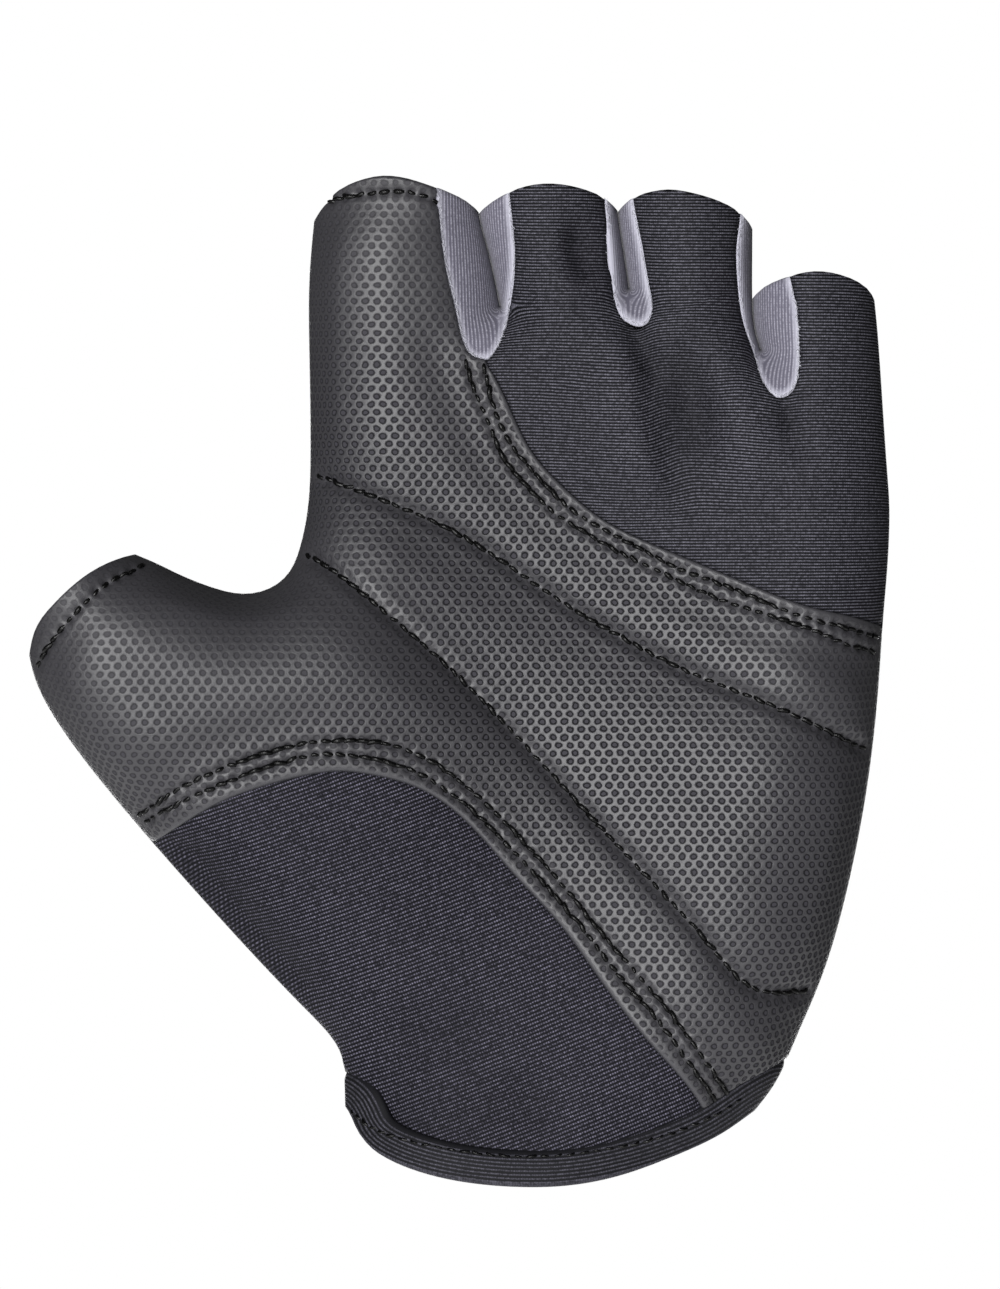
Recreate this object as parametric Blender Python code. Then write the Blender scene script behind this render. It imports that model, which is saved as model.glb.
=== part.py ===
"""A short-finger cycling glove for the left hand, filled out as it is when worn.

Units are metres and +Z is up. The palm faces -Y, the finger ends point up, the thumb lies towards -X,
and the origin is the middle of the wrist opening.

The glove is drawn flat first: its outline and seams are smooth curves in X and Z. The front and the
back are then raised from that drawing, steep at the outline and level in the middle, so each finger
becomes a tube and the palm a filled hand. Every panel is a wall cut out of that surface.
"""

import math

import bmesh
import bpy
import numpy as np
from mathutils import Vector
from mathutils.geometry import delaunay_2d_cdt

# Overall sizes
PALM_WIDTH = 0.093  # across the knuckles
GLOVE_LENGTH = 0.161  # wrist edge to the end of the longest finger
PALM_DEPTH = 0.014  # from the outline's plane to the palm's surface
SIDE_ROUND = 0.013  # how far in from the outline a finger takes to level out
SLIT_ROUND = 0.011  # the same beside the slits between the fingers
SLIT_WIDTH = 0.0008
WRIST_LEVEL = 0.035  # height of the origin above the lowest edge, as a share of the length

# Walls
KNIT_WALL = 0.0012
LEATHER_WALL = 0.0020
LEATHER_LAP = 0.0008  # how far the leather stands above the knit it is lapped on
STRIP_WALL = 0.0010
STRIP_SINK = 0.0004  # how far the strips between the fingers lie below the panels
BINDING_WALL = 0.0018
BINDING_RISE = 0.0006
BINDING_HEIGHT = 0.0048
SEAM_GAP = 0.0003

# Quilting and folds
CHANNEL_DEPTH = 0.0013
CHANNEL_WIDTH = 0.0022
PAD_PUFF = 0.0015  # how far the padding stands up between its seams
PAD_REACH = 0.0065  # how far from a seam the padding is nearly full
FOLD_WIDTH = 0.0030
BACK_EDGE_SHARE = 0.45  # how much of the front edges' curve the hidden back edges have

# Mesh
CURVE_STEP = 0.0005
EDGE_STEP = 0.0036
FRONT_NET = 0.0036
BACK_NET = 0.0050
TURN_STEP = math.radians(32)
SIDE_ROWS = (0.075, 0.29, 0.60)  # rows of points beside the outline, as shares of SIDE_ROUND
NET_ROOM = 0.68  # how far apart points of a net stay, as a share of its step
EDGE_ROOM = 0.45  # how far points stay from the panel's edge, as a share of the net's step
ROW_ROOM = 0.7  # how far apart rows of points stay, as a share of their spacing
BANK_ROOM = 0.6  # how far the points of a groove's banks stay apart, as a share of its width
PROBE = 0.0001
JOIN_WITHIN = 0.00001  # points nearer than this are one
CLOSE = 1e-7  # how exactly the triangles keep to their points
REACH_HALF = 0.5 + 1e-9  # half of a stretch between two points, with both its ends
NEVER_ZERO = 1e-18
SHARP_ANGLE = math.radians(50)

# Every table below holds shares: across is of PALM_WIDTH from the wrist's middle, up is of
# GLOVE_LENGTH from the lowest edge.

# Columns: across, up
THUMB_OUTER = (
    (-0.357, -0.020),
    (-0.360, 0.035),
    (-0.362, 0.074),
    (-0.364, 0.109),
    (-0.369, 0.127),
    (-0.388, 0.146),
    (-0.440, 0.178),
    (-0.538, 0.238),
    (-0.686, 0.334),
    (-0.790, 0.406),
    (-0.850, 0.453),
    (-0.886, 0.489),
    (-0.902, 0.516),
    (-0.910, 0.541),
    (-0.919, 0.565),
)
THUMB_TO_INDEX = (
    (-0.802, 0.655),
    (-0.753, 0.634),
    (-0.698, 0.620),
    (-0.647, 0.606),
    (-0.595, 0.594),
    (-0.543, 0.587),
    (-0.497, 0.591),
    (-0.460, 0.607),
    (-0.438, 0.637),
    (-0.426, 0.675),
    (-0.422, 0.729),
    (-0.424, 0.828),
    (-0.424, 0.898),
    (-0.417, 0.951),
    (-0.410, 0.992),
    (-0.405, 1.027),
)
ULNAR = (
    (0.540, 0.938),
    (0.553, 0.872),
    (0.559, 0.834),
    (0.566, 0.775),
    (0.574, 0.709),
    (0.578, 0.668),
    (0.574, 0.610),
    (0.567, 0.561),
    (0.560, 0.501),
    (0.548, 0.430),
    (0.529, 0.358),
    (0.498, 0.275),
    (0.460, 0.203),
    (0.417, 0.144),
    (0.383, 0.101),
    (0.348, 0.073),
    (0.305, 0.043),
    (0.241, 0.000),
)
SLITS = {
    "index_middle": (
        (-0.136, 1.027),
        (-0.131, 0.965),
        (-0.121, 0.941),
        (-0.110, 0.916),
        (-0.095, 0.874),
    ),
    "middle_ring": (
        (0.102, 1.027),
        (0.109, 0.965),
        (0.116, 0.938),
        (0.128, 0.892),
    ),
    "ring_little": (
        (0.341, 1.027),
        (0.341, 0.938),
        (0.341, 0.878),
        (0.345, 0.851),
        (0.355, 0.831),
    ),
}
HEMS = {
    "index": (
        (-0.436, 0.939),
        (-0.417, 0.957),
        (-0.388, 0.981),
        (-0.357, 0.993),
        (-0.298, 1.001),
        (-0.233, 0.995),
        (-0.181, 0.985),
        (-0.150, 0.975),
        (-0.131, 0.964),
    ),
    "middle": (
        (-0.131, 0.964),
        (-0.107, 0.976),
        (-0.066, 0.988),
        (-0.003, 0.993),
        (0.057, 0.987),
        (0.086, 0.979),
        (0.109, 0.965),
    ),
    "ring": (
        (0.109, 0.965),
        (0.133, 0.979),
        (0.164, 0.985),
        (0.198, 0.987),
        (0.250, 0.982),
        (0.293, 0.974),
        (0.322, 0.963),
        (0.341, 0.946),
    ),
    "little": (
        (0.341, 0.878),
        (0.362, 0.891),
        (0.402, 0.901),
        (0.453, 0.906),
        (0.505, 0.901),
        (0.538, 0.891),
        (0.553, 0.878),
        (0.567, 0.860),
    ),
    "thumb": (
        (-0.916, 0.497),
        (-0.905, 0.526),
        (-0.893, 0.551),
        (-0.853, 0.580),
        (-0.793, 0.609),
        (-0.747, 0.622),
        (-0.705, 0.627),
        (-0.655, 0.618),
    ),
    "wrist": (
        (-0.400, 0.084),
        (-0.363, 0.076),
        (-0.342, 0.054),
        (-0.318, 0.037),
        (-0.278, 0.024),
        (-0.181, 0.008),
        (-0.017, 0.001),
        (0.103, 0.010),
        (0.207, 0.028),
        (0.293, 0.051),
        (0.347, 0.072),
        (0.391, 0.086),
    ),
}
UPPER_BORDER = (
    (-0.131, 0.840),
    (-0.122, 0.820),
    (-0.095, 0.791),
    (-0.047, 0.733),
    (0.014, 0.692),
    (0.084, 0.659),
    (0.181, 0.632),
    (0.307, 0.602),
    (0.434, 0.574),
    (0.510, 0.564),
    (0.567, 0.554),
    (0.621, 0.543),
)
LOWER_BORDER = (
    (-0.733, 0.326),
    (-0.686, 0.342),
    (-0.590, 0.377),
    (-0.486, 0.400),
    (-0.381, 0.412),
    (-0.319, 0.409),
    (-0.255, 0.400),
    (-0.193, 0.382),
    (-0.131, 0.350),
    (-0.064, 0.306),
    (0.009, 0.260),
    (0.088, 0.197),
    (0.162, 0.143),
    (0.209, 0.113),
    (0.255, 0.078),
    (0.278, 0.050),
)
STRIP_EDGES = {
    "index_middle": (
        (-0.209, 1.027),
        (-0.203, 0.987),
        (-0.197, 0.952),
        (-0.188, 0.912),
        (-0.172, 0.873),
        (-0.157, 0.836),
        (-0.143, 0.824),
        (-0.126, 0.821),
        (-0.110, 0.824),
        (-0.093, 0.841),
        (-0.081, 0.863),
        (-0.072, 0.900),
        (-0.072, 0.938),
        (-0.079, 0.977),
        (-0.084, 1.027),
    ),
    "middle_ring": (
        (0.084, 1.027),
        (0.086, 0.978),
        (0.093, 0.938),
        (0.100, 0.894),
        (0.110, 0.870),
        (0.128, 0.859),
        (0.150, 0.856),
        (0.166, 0.868),
        (0.162, 0.890),
        (0.150, 0.930),
        (0.134, 0.978),
        (0.126, 1.027),
    ),
    "ring_little": (
        (0.322, 1.002),
        (0.319, 0.958),
        (0.314, 0.933),
        (0.316, 0.893),
        (0.326, 0.853),
        (0.343, 0.821),
        (0.360, 0.795),
        (0.386, 0.784),
        (0.409, 0.791),
        (0.419, 0.810),
        (0.419, 0.842),
        (0.414, 0.875),
        (0.403, 0.901),
        (0.391, 0.938),
    ),
}
QUILTING = (
    (
        (-0.448, 0.712),
        (-0.388, 0.699),
        (-0.266, 0.673),
        (-0.138, 0.637),
        (-0.007, 0.586),
        (0.105, 0.547),
        (0.224, 0.511),
        (0.362, 0.479),
        (0.500, 0.443),
        (0.581, 0.420),
    ),
    (
        (-0.466, 0.634),
        (-0.400, 0.616),
        (-0.269, 0.558),
        (-0.169, 0.507),
        (-0.053, 0.438),
        (0.069, 0.361),
        (0.188, 0.288),
        (0.267, 0.238),
        (0.328, 0.200),
        (0.390, 0.188),
        (0.483, 0.195),
    ),
)

# Columns: depth as a share of PALM_DEPTH, then the fold's route
FOLDS = (
    (0.10, ((0.160, 0.843), (0.172, 0.789), (0.188, 0.729), (0.233, 0.620))),
    (0.09, ((0.393, 0.774), (0.417, 0.734), (0.443, 0.670))),
    (0.07, ((-0.328, 0.154), (-0.267, 0.122), (-0.147, 0.096))),
)

# Columns: place, across, up, front depth and back depth as shares of PALM_DEPTH, how far in the
# surface levels out as a share of SIDE_ROUND, and how far the outline itself leans towards the back
# as a share of PALM_DEPTH, so that the finger ends and the thumb curl towards the palm
FORM = (
    ("index end", -0.276, 0.947, 0.76, 0.72, 1.00, -0.15),
    ("middle end", -0.009, 0.947, 0.75, 0.72, 1.00, -0.25),
    ("ring end", 0.221, 0.938, 0.73, 0.70, 1.00, -0.30),
    ("little end", 0.448, 0.858, 0.68, 0.66, 0.95, -0.40),
    ("index base", -0.293, 0.759, 0.93, 0.92, 1.15, 0.10),
    ("middle base", 0.009, 0.749, 0.96, 1.00, 1.30, 0.15),
    ("ring base", 0.250, 0.739, 0.95, 0.97, 1.30, 0.10),
    ("little base", 0.457, 0.709, 0.90, 0.85, 1.15, -0.10),
    ("palm hollow", 0.078, 0.501, 0.98, 1.05, 1.60, 0.15),
    ("little side", 0.405, 0.421, 1.20, 0.96, 1.50, -0.05),
    ("thumb mound", -0.388, 0.382, 1.38, 1.00, 1.55, -0.30),
    ("thumb end", -0.793, 0.561, 0.84, 0.80, 0.95, -1.00),
    ("thumb base", -0.595, 0.481, 1.08, 0.88, 1.15, -0.65),
    ("heel", 0.112, 0.253, 1.26, 1.14, 1.80, 0.05),
    ("wrist middle", 0.000, 0.084, 1.34, 1.28, 2.00, 0.00),
    ("wrist thumb side", -0.267, 0.104, 1.32, 1.24, 1.70, 0.00),
    ("wrist little side", 0.284, 0.124, 1.28, 1.20, 1.70, 0.00),
)
FORM_REACH = 0.11  # how far one place of the form spreads, as a share of GLOVE_LENGTH


# Which sides of the outline each edge runs between
EDGE_ENDS = {
    "hem_index": ("thumb_to_index", "slit_index_middle"),
    "hem_middle": ("slit_index_middle", "slit_middle_ring"),
    "hem_ring": ("slit_middle_ring", "slit_ring_little"),
    "hem_little": ("slit_ring_little", "ulnar"),
    "hem_thumb": ("thumb_outer", "thumb_to_index"),
    "hem_wrist": ("thumb_outer", "ulnar"),
    "binding_top": ("thumb_outer", "ulnar"),
}


def place(across, up):
    """X and Z of a row of a table."""
    return (across * PALM_WIDTH, (up - WRIST_LEVEL) * GLOVE_LENGTH)


def spline(rows):
    """Close points along the natural cubic spline through a table's rows."""
    knots = np.array([place(*row) for row in rows])
    gaps = np.sqrt(np.linalg.norm(np.diff(knots, axis=0), axis=1))
    last = len(knots) - 1
    system = np.eye(last + 1)
    bends = np.zeros_like(knots)
    for i in range(1, last):
        system[i, i - 1 : i + 2] = gaps[i - 1], 2 * (gaps[i - 1] + gaps[i]), gaps[i]
        bends[i] = 6 * ((knots[i + 1] - knots[i]) / gaps[i] - (knots[i] - knots[i - 1]) / gaps[i - 1])
    bends = np.linalg.solve(system, bends)
    points = []
    for i in range(last):
        gap = gaps[i]
        count = max(2, math.ceil(gap**2 / CURVE_STEP))
        after = (np.arange(count) / count * gap)[:, None]
        before = gap - after
        points.append(
            (bends[i] * before**3 + bends[i + 1] * after**3) / (6 * gap)
            + (knots[i] / gap - bends[i] * gap / 6) * before
            + (knots[i + 1] / gap - bends[i + 1] * gap / 6) * after
        )
    return np.vstack([*points, knots[-1:]])


def shifted(curve, distance):
    """The curve moved sideways by a distance, to the left of its direction where that is above 0."""
    ahead = np.diff(curve, axis=0)
    ahead /= np.linalg.norm(ahead, axis=1)[:, None]
    sides = np.column_stack([-ahead[:, 1], ahead[:, 0]])
    before = np.vstack([sides[:1], sides])
    after = np.vstack([sides, sides[-1:]])
    middle = before + after
    return curve + distance * 2 * middle / (middle**2).sum(axis=1)[:, None]


def thinned(curve, step):
    """The curve with as few points as its bends need, none further apart than about a step."""
    kept = [0]
    travelled = 0.0
    turned = 0.0
    for i in range(1, len(curve) - 1):
        into = curve[i] - curve[i - 1]
        out = curve[i + 1] - curve[i]
        travelled += math.hypot(*into)
        turned += abs(math.atan2(into[0] * out[1] - into[1] * out[0], into @ out))
        if travelled > step or turned > TURN_STEP:
            kept.append(i)
            travelled = 0.0
            turned = 0.0
    return curve[[*kept, len(curve) - 1]]


def around_slit(middle):
    """The outline of a slit, down its thumb side, round its end and up the other side."""
    half = SLIT_WIDTH / 2
    ahead = middle[-1] - middle[-2]
    heading = math.atan2(ahead[1], ahead[0])
    turns = heading - math.pi / 2 + np.linspace(0, math.pi, 7)[1:-1]
    end = middle[-1] + half * np.column_stack([np.cos(turns), np.sin(turns)])
    return np.vstack([shifted(middle, -half), end, shifted(middle, half)[::-1]])


def extended(curve, length):
    """The curve carried straight on past both its ends."""
    ends = []
    for end, before in ((curve[0], curve[1]), (curve[-1], curve[-2])):
        ahead = end - before
        ends.append(end + ahead * length / math.hypot(*ahead))
    return np.vstack([ends[:1], curve, ends[1:]])


SLIT_LINES = {name: spline(rows) for name, rows in SLITS.items()}
SIDES = {
    "thumb_outer": spline(THUMB_OUTER),
    "thumb_to_index": spline(THUMB_TO_INDEX),
    "ulnar": spline(ULNAR),
}
CREASES = [(share, spline(route)) for share, route in FOLDS]
CHANNELS = [spline(route) for route in QUILTING]
PAD_SEAMS = [
    *CHANNELS,
    spline(UPPER_BORDER),
    spline(LOWER_BORDER),
    spline(STRIP_EDGES["index_middle"]),
    spline(HEMS["index"]),
    spline(HEMS["thumb"]),
    spline(HEMS["wrist"]),
]


def crossing(first, second):
    """Where two curves cross, as each one's segment number with its fraction, and the point."""
    a = first[:-1, None]
    u = np.diff(first, axis=0)[:, None]
    b = second[None, :-1]
    v = np.diff(second, axis=0)[None]
    cross = u[..., 0] * v[..., 1] - u[..., 1] * v[..., 0]
    cross[cross == 0] = NEVER_ZERO
    gap = b - a
    s = (gap[..., 0] * v[..., 1] - gap[..., 1] * v[..., 0]) / cross
    t = (gap[..., 0] * u[..., 1] - gap[..., 1] * u[..., 0]) / cross
    hits = np.argwhere((np.abs(s - 0.5) < REACH_HALF) & (np.abs(t - 0.5) < REACH_HALF))
    i, j = hits[0]
    return i + s[i, j], j + t[i, j], first[i] + s[i, j] * (first[i + 1] - first[i])


def pinned(curve, sides):
    """The curve with a point added where it crosses each of two sides, and those points' numbers."""
    first, _, start = crossing(curve, sides[0])
    last, _, end = crossing(curve, sides[1])
    i = math.floor(first) + 1
    j = math.floor(last) + 1
    return np.vstack([curve[:i], [start], curve[i:j], [end], curve[j:]]), i, j + 1


def flattened(curve, first, last):
    """A front edge drawn nearer to the straight line between its pinned ends, for the back."""
    inner = curve[first : last + 1]
    reach = np.linalg.norm(np.diff(inner, axis=0), axis=1).cumsum()
    shares = np.concatenate([[0], reach / reach[-1]])[:, None]
    chord = inner[0] + (inner[-1] - inner[0]) * shares
    return np.vstack([curve[:first], chord + (inner - chord) * BACK_EDGE_SHARE, curve[last + 1 :]])


def drawing():
    """Every curve that panels are cut along, by name, thinned alike for the panels on both sides."""
    curves = {name: thinned(curve, EDGE_STEP) for name, curve in SIDES.items()}
    for name in SLITS:
        curves["slit_" + name] = around_slit(thinned(SLIT_LINES[name], EDGE_STEP))
        curves["strip_" + name] = thinned(spline(STRIP_EDGES[name]), EDGE_STEP)
    edges = {"hem_" + name: thinned(spline(rows), EDGE_STEP) for name, rows in HEMS.items()}
    edges["binding_top"] = extended(shifted(edges["hem_wrist"], BINDING_HEIGHT), 2 * BINDING_HEIGHT)
    for name, edge in edges.items():
        edge, first, last = pinned(edge, [curves[side] for side in EDGE_ENDS[name]])
        curves[name] = edge
        curves["back_" + name] = flattened(edge, first, last)
    curves["upper_border"] = thinned(spline(UPPER_BORDER), EDGE_STEP)
    curves["lower_border"] = thinned(spline(LOWER_BORDER), EDGE_STEP)
    return curves


def stretch(curve, start, end, start_point, end_point):
    """The curve's points between two crossings, leaving out those that crowd a crossing."""
    if start < end:
        inner = curve[math.floor(start) + 1 : math.ceil(end)]
    else:
        inner = curve[math.floor(end) + 1 : math.ceil(start)][::-1]
    away = [
        point
        for point in inner
        if min(math.dist(point, start_point), math.dist(point, end_point)) > SEAM_GAP
    ]
    return [start_point, *away]


def walked(curves, names):
    """The sides of the loop that follows the named curves from crossing to crossing."""
    count = len(names)
    corners = [crossing(curves[names[i - 1]], curves[names[i]]) for i in range(count)]
    sides = []
    for i in range(count):
        start = corners[i][1]
        end = corners[(i + 1) % count][0]
        points = stretch(curves[names[i]], start, end, corners[i][2], corners[(i + 1) % count][2])
        sides.append((np.array(points), start < end))
    return sides


def area(loop):
    """Signed area of a closed loop, above 0 where it runs anticlockwise."""
    ahead = np.roll(loop, -1, axis=0)
    return 0.5 * np.sum(loop[:, 0] * ahead[:, 1] - loop[:, 1] * ahead[:, 0])


def panel_sides(curves, names):
    """The sides of a panel, drawn in by half the gap along its seams and not along free edges."""
    sides = walked(curves, names)
    anticlockwise = area(np.vstack([side for side, _ in sides])) > 0
    drawn = dict(curves)
    for name, (_, forward) in zip(names, sides):
        if name in SIDES or "hem_" in name or name.startswith("slit_"):
            continue
        inward = 1 if forward == anticlockwise else -1
        drawn[name] = shifted(curves[name], inward * SEAM_GAP / 2)
    sides = [side for side, _ in walked(drawn, names)]
    if not anticlockwise:
        sides = [np.vstack([sides[i][1:], sides[(i + 1) % len(sides)][:1]])[::-1] for i in range(len(sides))]
        sides.reverse()
        names = names[::-1]
    return sides, names


def nearest(points, curve):
    """Distance from each point to a curve, and the side it lies on: 1 on the right, -1 on the left."""
    start = curve[:-1]
    along = np.diff(curve, axis=0)
    offset = points[:, None] - start[None]
    share = np.clip((offset * along).sum(axis=2) / (along**2).sum(axis=1), 0, 1)
    away = offset - share[..., None] * along
    distance = np.hypot(away[..., 0], away[..., 1])
    index = distance.argmin(axis=1)
    rows = np.arange(len(points))
    turn = along[index, 0] * offset[rows, index, 1] - along[index, 1] * offset[rows, index, 0]
    return distance[rows, index], np.where(turn > 0, -1.0, 1.0)


def levelling(distance, reach):
    """The share of its full squared height that the surface has at a distance inside an edge."""
    near = 1 - (1 - distance / reach) ** 2
    return np.where(np.abs(distance) < reach, near, 1.0)


def form(points):
    """Front depth, back depth, reach of the rounding and lean at each point, blended."""
    places = np.array([place(row[1], row[2]) for row in FORM])
    values = np.array([row[3:] for row in FORM])
    spread = FORM_REACH * GLOVE_LENGTH
    squares = ((points[:, None] - places[None]) ** 2).sum(axis=2)
    weights = np.exp(-squares / (2 * spread**2))
    blended = weights @ values / weights.sum(axis=1)[:, None]
    return (blended * (PALM_DEPTH, PALM_DEPTH, SIDE_ROUND, PALM_DEPTH)).T


def groove(points, curve, width):
    """How deep in a groove along a curve each point lies, from 0 to 1."""
    distance, _ = nearest(points, curve)
    return np.exp(-((distance / width) ** 2))


def squared_height(points, back, rise, quilted):
    """The square of the surface's height above the outline's plane. It is below 0 outside."""
    front_depth, back_depth, reach, _ = form(points)
    depth = (back_depth if back else front_depth) + rise
    if not back:
        for share, crease in CREASES:
            depth = depth - share * PALM_DEPTH * groove(points, crease, FOLD_WIDTH)
    if quilted:
        sewn = np.max([groove(points, seam, PAD_REACH) for seam in PAD_SEAMS], axis=0)
        depth = depth + PAD_PUFF * (1 - sewn)
        for channel in CHANNELS:
            depth = depth - CHANNEL_DEPTH * groove(points, channel, CHANNEL_WIDTH)
    squared = depth**2
    for curve in SIDES.values():
        distance, side = nearest(points, curve)
        squared = squared * levelling(distance * side, reach)
    for line in SLIT_LINES.values():
        distance, _ = nearest(points, line)
        squared = squared * levelling(distance - SLIT_WIDTH / 2, SLIT_ROUND)
    return squared


def inside(points, loop):
    """Whether each point lies inside a closed loop."""
    ahead = np.roll(loop, -1, axis=0)
    x = points[:, None, 0]
    z = points[:, None, 1]
    spans = (loop[:, 1] > z) != (ahead[:, 1] > z)
    rise = ahead[:, 1] - loop[:, 1]
    rise[rise == 0] = NEVER_ZERO
    at = loop[:, 0] + (z - loop[:, 1]) / rise * (ahead[:, 0] - loop[:, 0])
    return (spans & (x < at)).sum(axis=1) % 2 == 1


def rows_beside(names, curves, net):
    """Rows of points that follow the outline, closer together where the surface is steep."""
    rows = []
    for name in names:
        if name not in SIDES and not name.startswith("slit_"):
            continue
        before = 0.0
        for share in SIDE_ROWS:
            distance = share * SIDE_ROUND
            row = shifted(curves[name], -distance)
            if share > SIDE_ROWS[0]:
                row = thinned(row, net)
            rows.append((row, ROW_ROOM * (distance - before)))
            before = distance
    return rows


def rows_along(routes, width, net):
    """Rows of points on a groove and on both its banks."""
    rows = []
    for route in routes:
        line = thinned(spline(route), net)
        for distance in (0, width, -width):
            rows.append((shifted(line, distance), BANK_ROOM * width))
    return rows


def filled(loop, rows, step):
    """The loop's inner points: the given rows, then an even triangular net where there is room."""
    low = loop.min(axis=0)
    high = loop.max(axis=0)
    pitch = step * math.sqrt(3) / 2
    net = [
        (low[0] + (i + 0.5 * (j % 2)) * step, low[1] + j * pitch)
        for j in range(math.ceil((high[1] - low[1]) / pitch) + 1)
        for i in range(math.ceil((high[0] - low[0]) / step) + 1)
    ]
    closed = np.vstack([loop, loop[:1]])
    kept = list(loop)
    found = []
    for candidates, room in [*rows, (np.array(net), NET_ROOM * step)]:
        candidates = candidates[inside(candidates, loop)]
        if not len(candidates):
            continue
        edge, _ = nearest(candidates, closed)
        for point in candidates[edge > min(room, EDGE_ROOM * step)]:
            if (np.hypot(*(np.array(kept) - point).T) > room).all():
                kept.append(point)
                found.append(point)
    return np.array(found).reshape(-1, 2)


def triangulated(loop, inner):
    """Flat points and triangles of a panel, each triangle anticlockwise."""
    points = [Vector(point) for point in np.vstack([loop, inner])]
    made = delaunay_2d_cdt(points, [], [list(range(len(loop)))], 1, CLOSE)
    flat = np.array([tuple(point) for point in made[0]])
    return flat, [list(face) for face in made[2]]


def raised(flat, back, rise, quilted, wall, shift):
    """Outer and inner points of a panel's wall above its flat points."""
    settings = (back, rise, quilted)
    squared = np.maximum(squared_height(flat, *settings), 0)
    height = np.sqrt(squared)
    height[height < PROBE] = 0
    slopes = []
    for step in ((PROBE, 0), (0, PROBE)):
        ahead = squared_height(flat + step, *settings)
        behind = squared_height(flat - step, *settings)
        slopes.append((ahead - behind) / (2 * PROBE))
    facing = 1 if back else -1
    normals = np.column_stack([-slopes[0], 2 * facing * height, -slopes[1]])
    normals /= np.linalg.norm(normals, axis=1)[:, None]
    outer = np.column_stack([flat[:, 0], facing * (height + shift) + form(flat)[3], flat[:, 1]])
    return outer, outer - wall * normals


class Skin:
    """The outer and inner surface of one piece, gathered before its rims are closed."""

    def __init__(self):
        self.outer = []
        self.inner = []
        self.faces = []
        self.known = {}

    def add(self, outer, inner, faces, back):
        """Adds a raised panel, joining it where it meets what is already there."""
        numbers = []
        for out, into in zip(outer, inner):
            key = tuple(np.round(out / JOIN_WITHIN).astype(int))
            if key not in self.known:
                self.known[key] = len(self.outer)
                self.outer.append(out)
                self.inner.append(into)
            numbers.append(self.known[key])
        for face in faces:
            corners = [numbers[i] for i in face]
            self.faces.append(corners[::-1] if back else corners)

    def mesh(self, name):
        """A closed mesh: the outer surface, the inner one turned round, and rims between them."""
        made = bmesh.new()
        outer = [made.verts.new(point) for point in self.outer]
        inner = [made.verts.new(point) for point in self.inner]
        edges = {(face[i - 1], face[i]) for face in self.faces for i in range(3)}
        for a, b, c in self.faces:
            made.faces.new((outer[a], outer[b], outer[c]))
            made.faces.new((inner[c], inner[b], inner[a]))
        for a, b in edges:
            if (b, a) not in edges:
                made.faces.new((outer[b], outer[a], inner[a], inner[b]))
        bmesh.ops.triangulate(made, faces=[face for face in made.faces if len(face.verts) > 3])
        mesh = bpy.data.meshes.new(name)
        made.to_mesh(mesh)
        made.free()
        mesh.shade_smooth()
        mesh.set_sharp_from_angle(angle=SHARP_ANGLE)
        return mesh


def material(name, colour, roughness):
    """A plain material with the piece's colour, which is sRGB."""
    made = bpy.data.materials.new(name)
    made.use_nodes = True
    shader = made.node_tree.nodes["Principled BSDF"]
    linear = [((value + 0.055) / 1.055) ** 2.4 for value in colour]
    shader.inputs["Base Color"].default_value = (*linear, 1)
    shader.inputs["Roughness"].default_value = roughness
    shader.inputs["Metallic"].default_value = 0
    return made


def piece(name, skin, looks, parent):
    """Puts a finished skin in the scene as an object of its own."""
    mesh = skin.mesh(name)
    mesh.materials.append(looks)
    made = bpy.data.objects.new(name, mesh)
    made.parent = parent
    bpy.context.scene.collection.objects.link(made)


def one_sided(names, back=False, rise=0.0, wall=KNIT_WALL, net=FRONT_NET, quilted=False, folds=()):
    """A panel of the front or of the back alone, clear of the other side's by the seam's gap."""
    curves = drawing()
    sides, names = panel_sides(curves, names)
    loop = np.vstack(sides)
    rows = rows_beside(names, curves, net)
    if quilted:
        rows += rows_along(QUILTING, CHANNEL_WIDTH, net)
    rows += rows_along([FOLDS[i][1] for i in folds], FOLD_WIDTH, net)
    flat, faces = triangulated(loop, filled(loop, rows, net))
    skin = Skin()
    skin.add(*raised(flat, back, rise, quilted, wall, SEAM_GAP / 2), faces, back)
    return skin


def wrapped(front_names, back_names, rise, wall):
    """A piece that runs over the outline from front to back, joined along it."""
    curves = drawing()
    skin = Skin()
    shared = {}
    for back, names in ((False, front_names), (True, back_names)):
        sides, names = panel_sides(curves, names)
        for i, name in enumerate(names):
            if name in SIDES or name.startswith("slit_"):
                ends = np.vstack([sides[i], sides[(i + 1) % len(sides)][:1]])
                ends = shared.setdefault(name, ends)
                sides[i] = ends[:-1]
                sides[(i + 1) % len(sides)][0] = ends[-1]
        loop = np.vstack(sides)
        inner = filled(loop, rows_beside(names, curves, FRONT_NET), FRONT_NET)
        flat, faces = triangulated(loop, inner)
        skin.add(*raised(flat, back, rise, False, wall, 0), faces, back)
    return skin


def clear_scene():
    """Removes what the scene held."""
    for old in list(bpy.data.objects):
        bpy.data.objects.remove(old, do_unlink=True)


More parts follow.
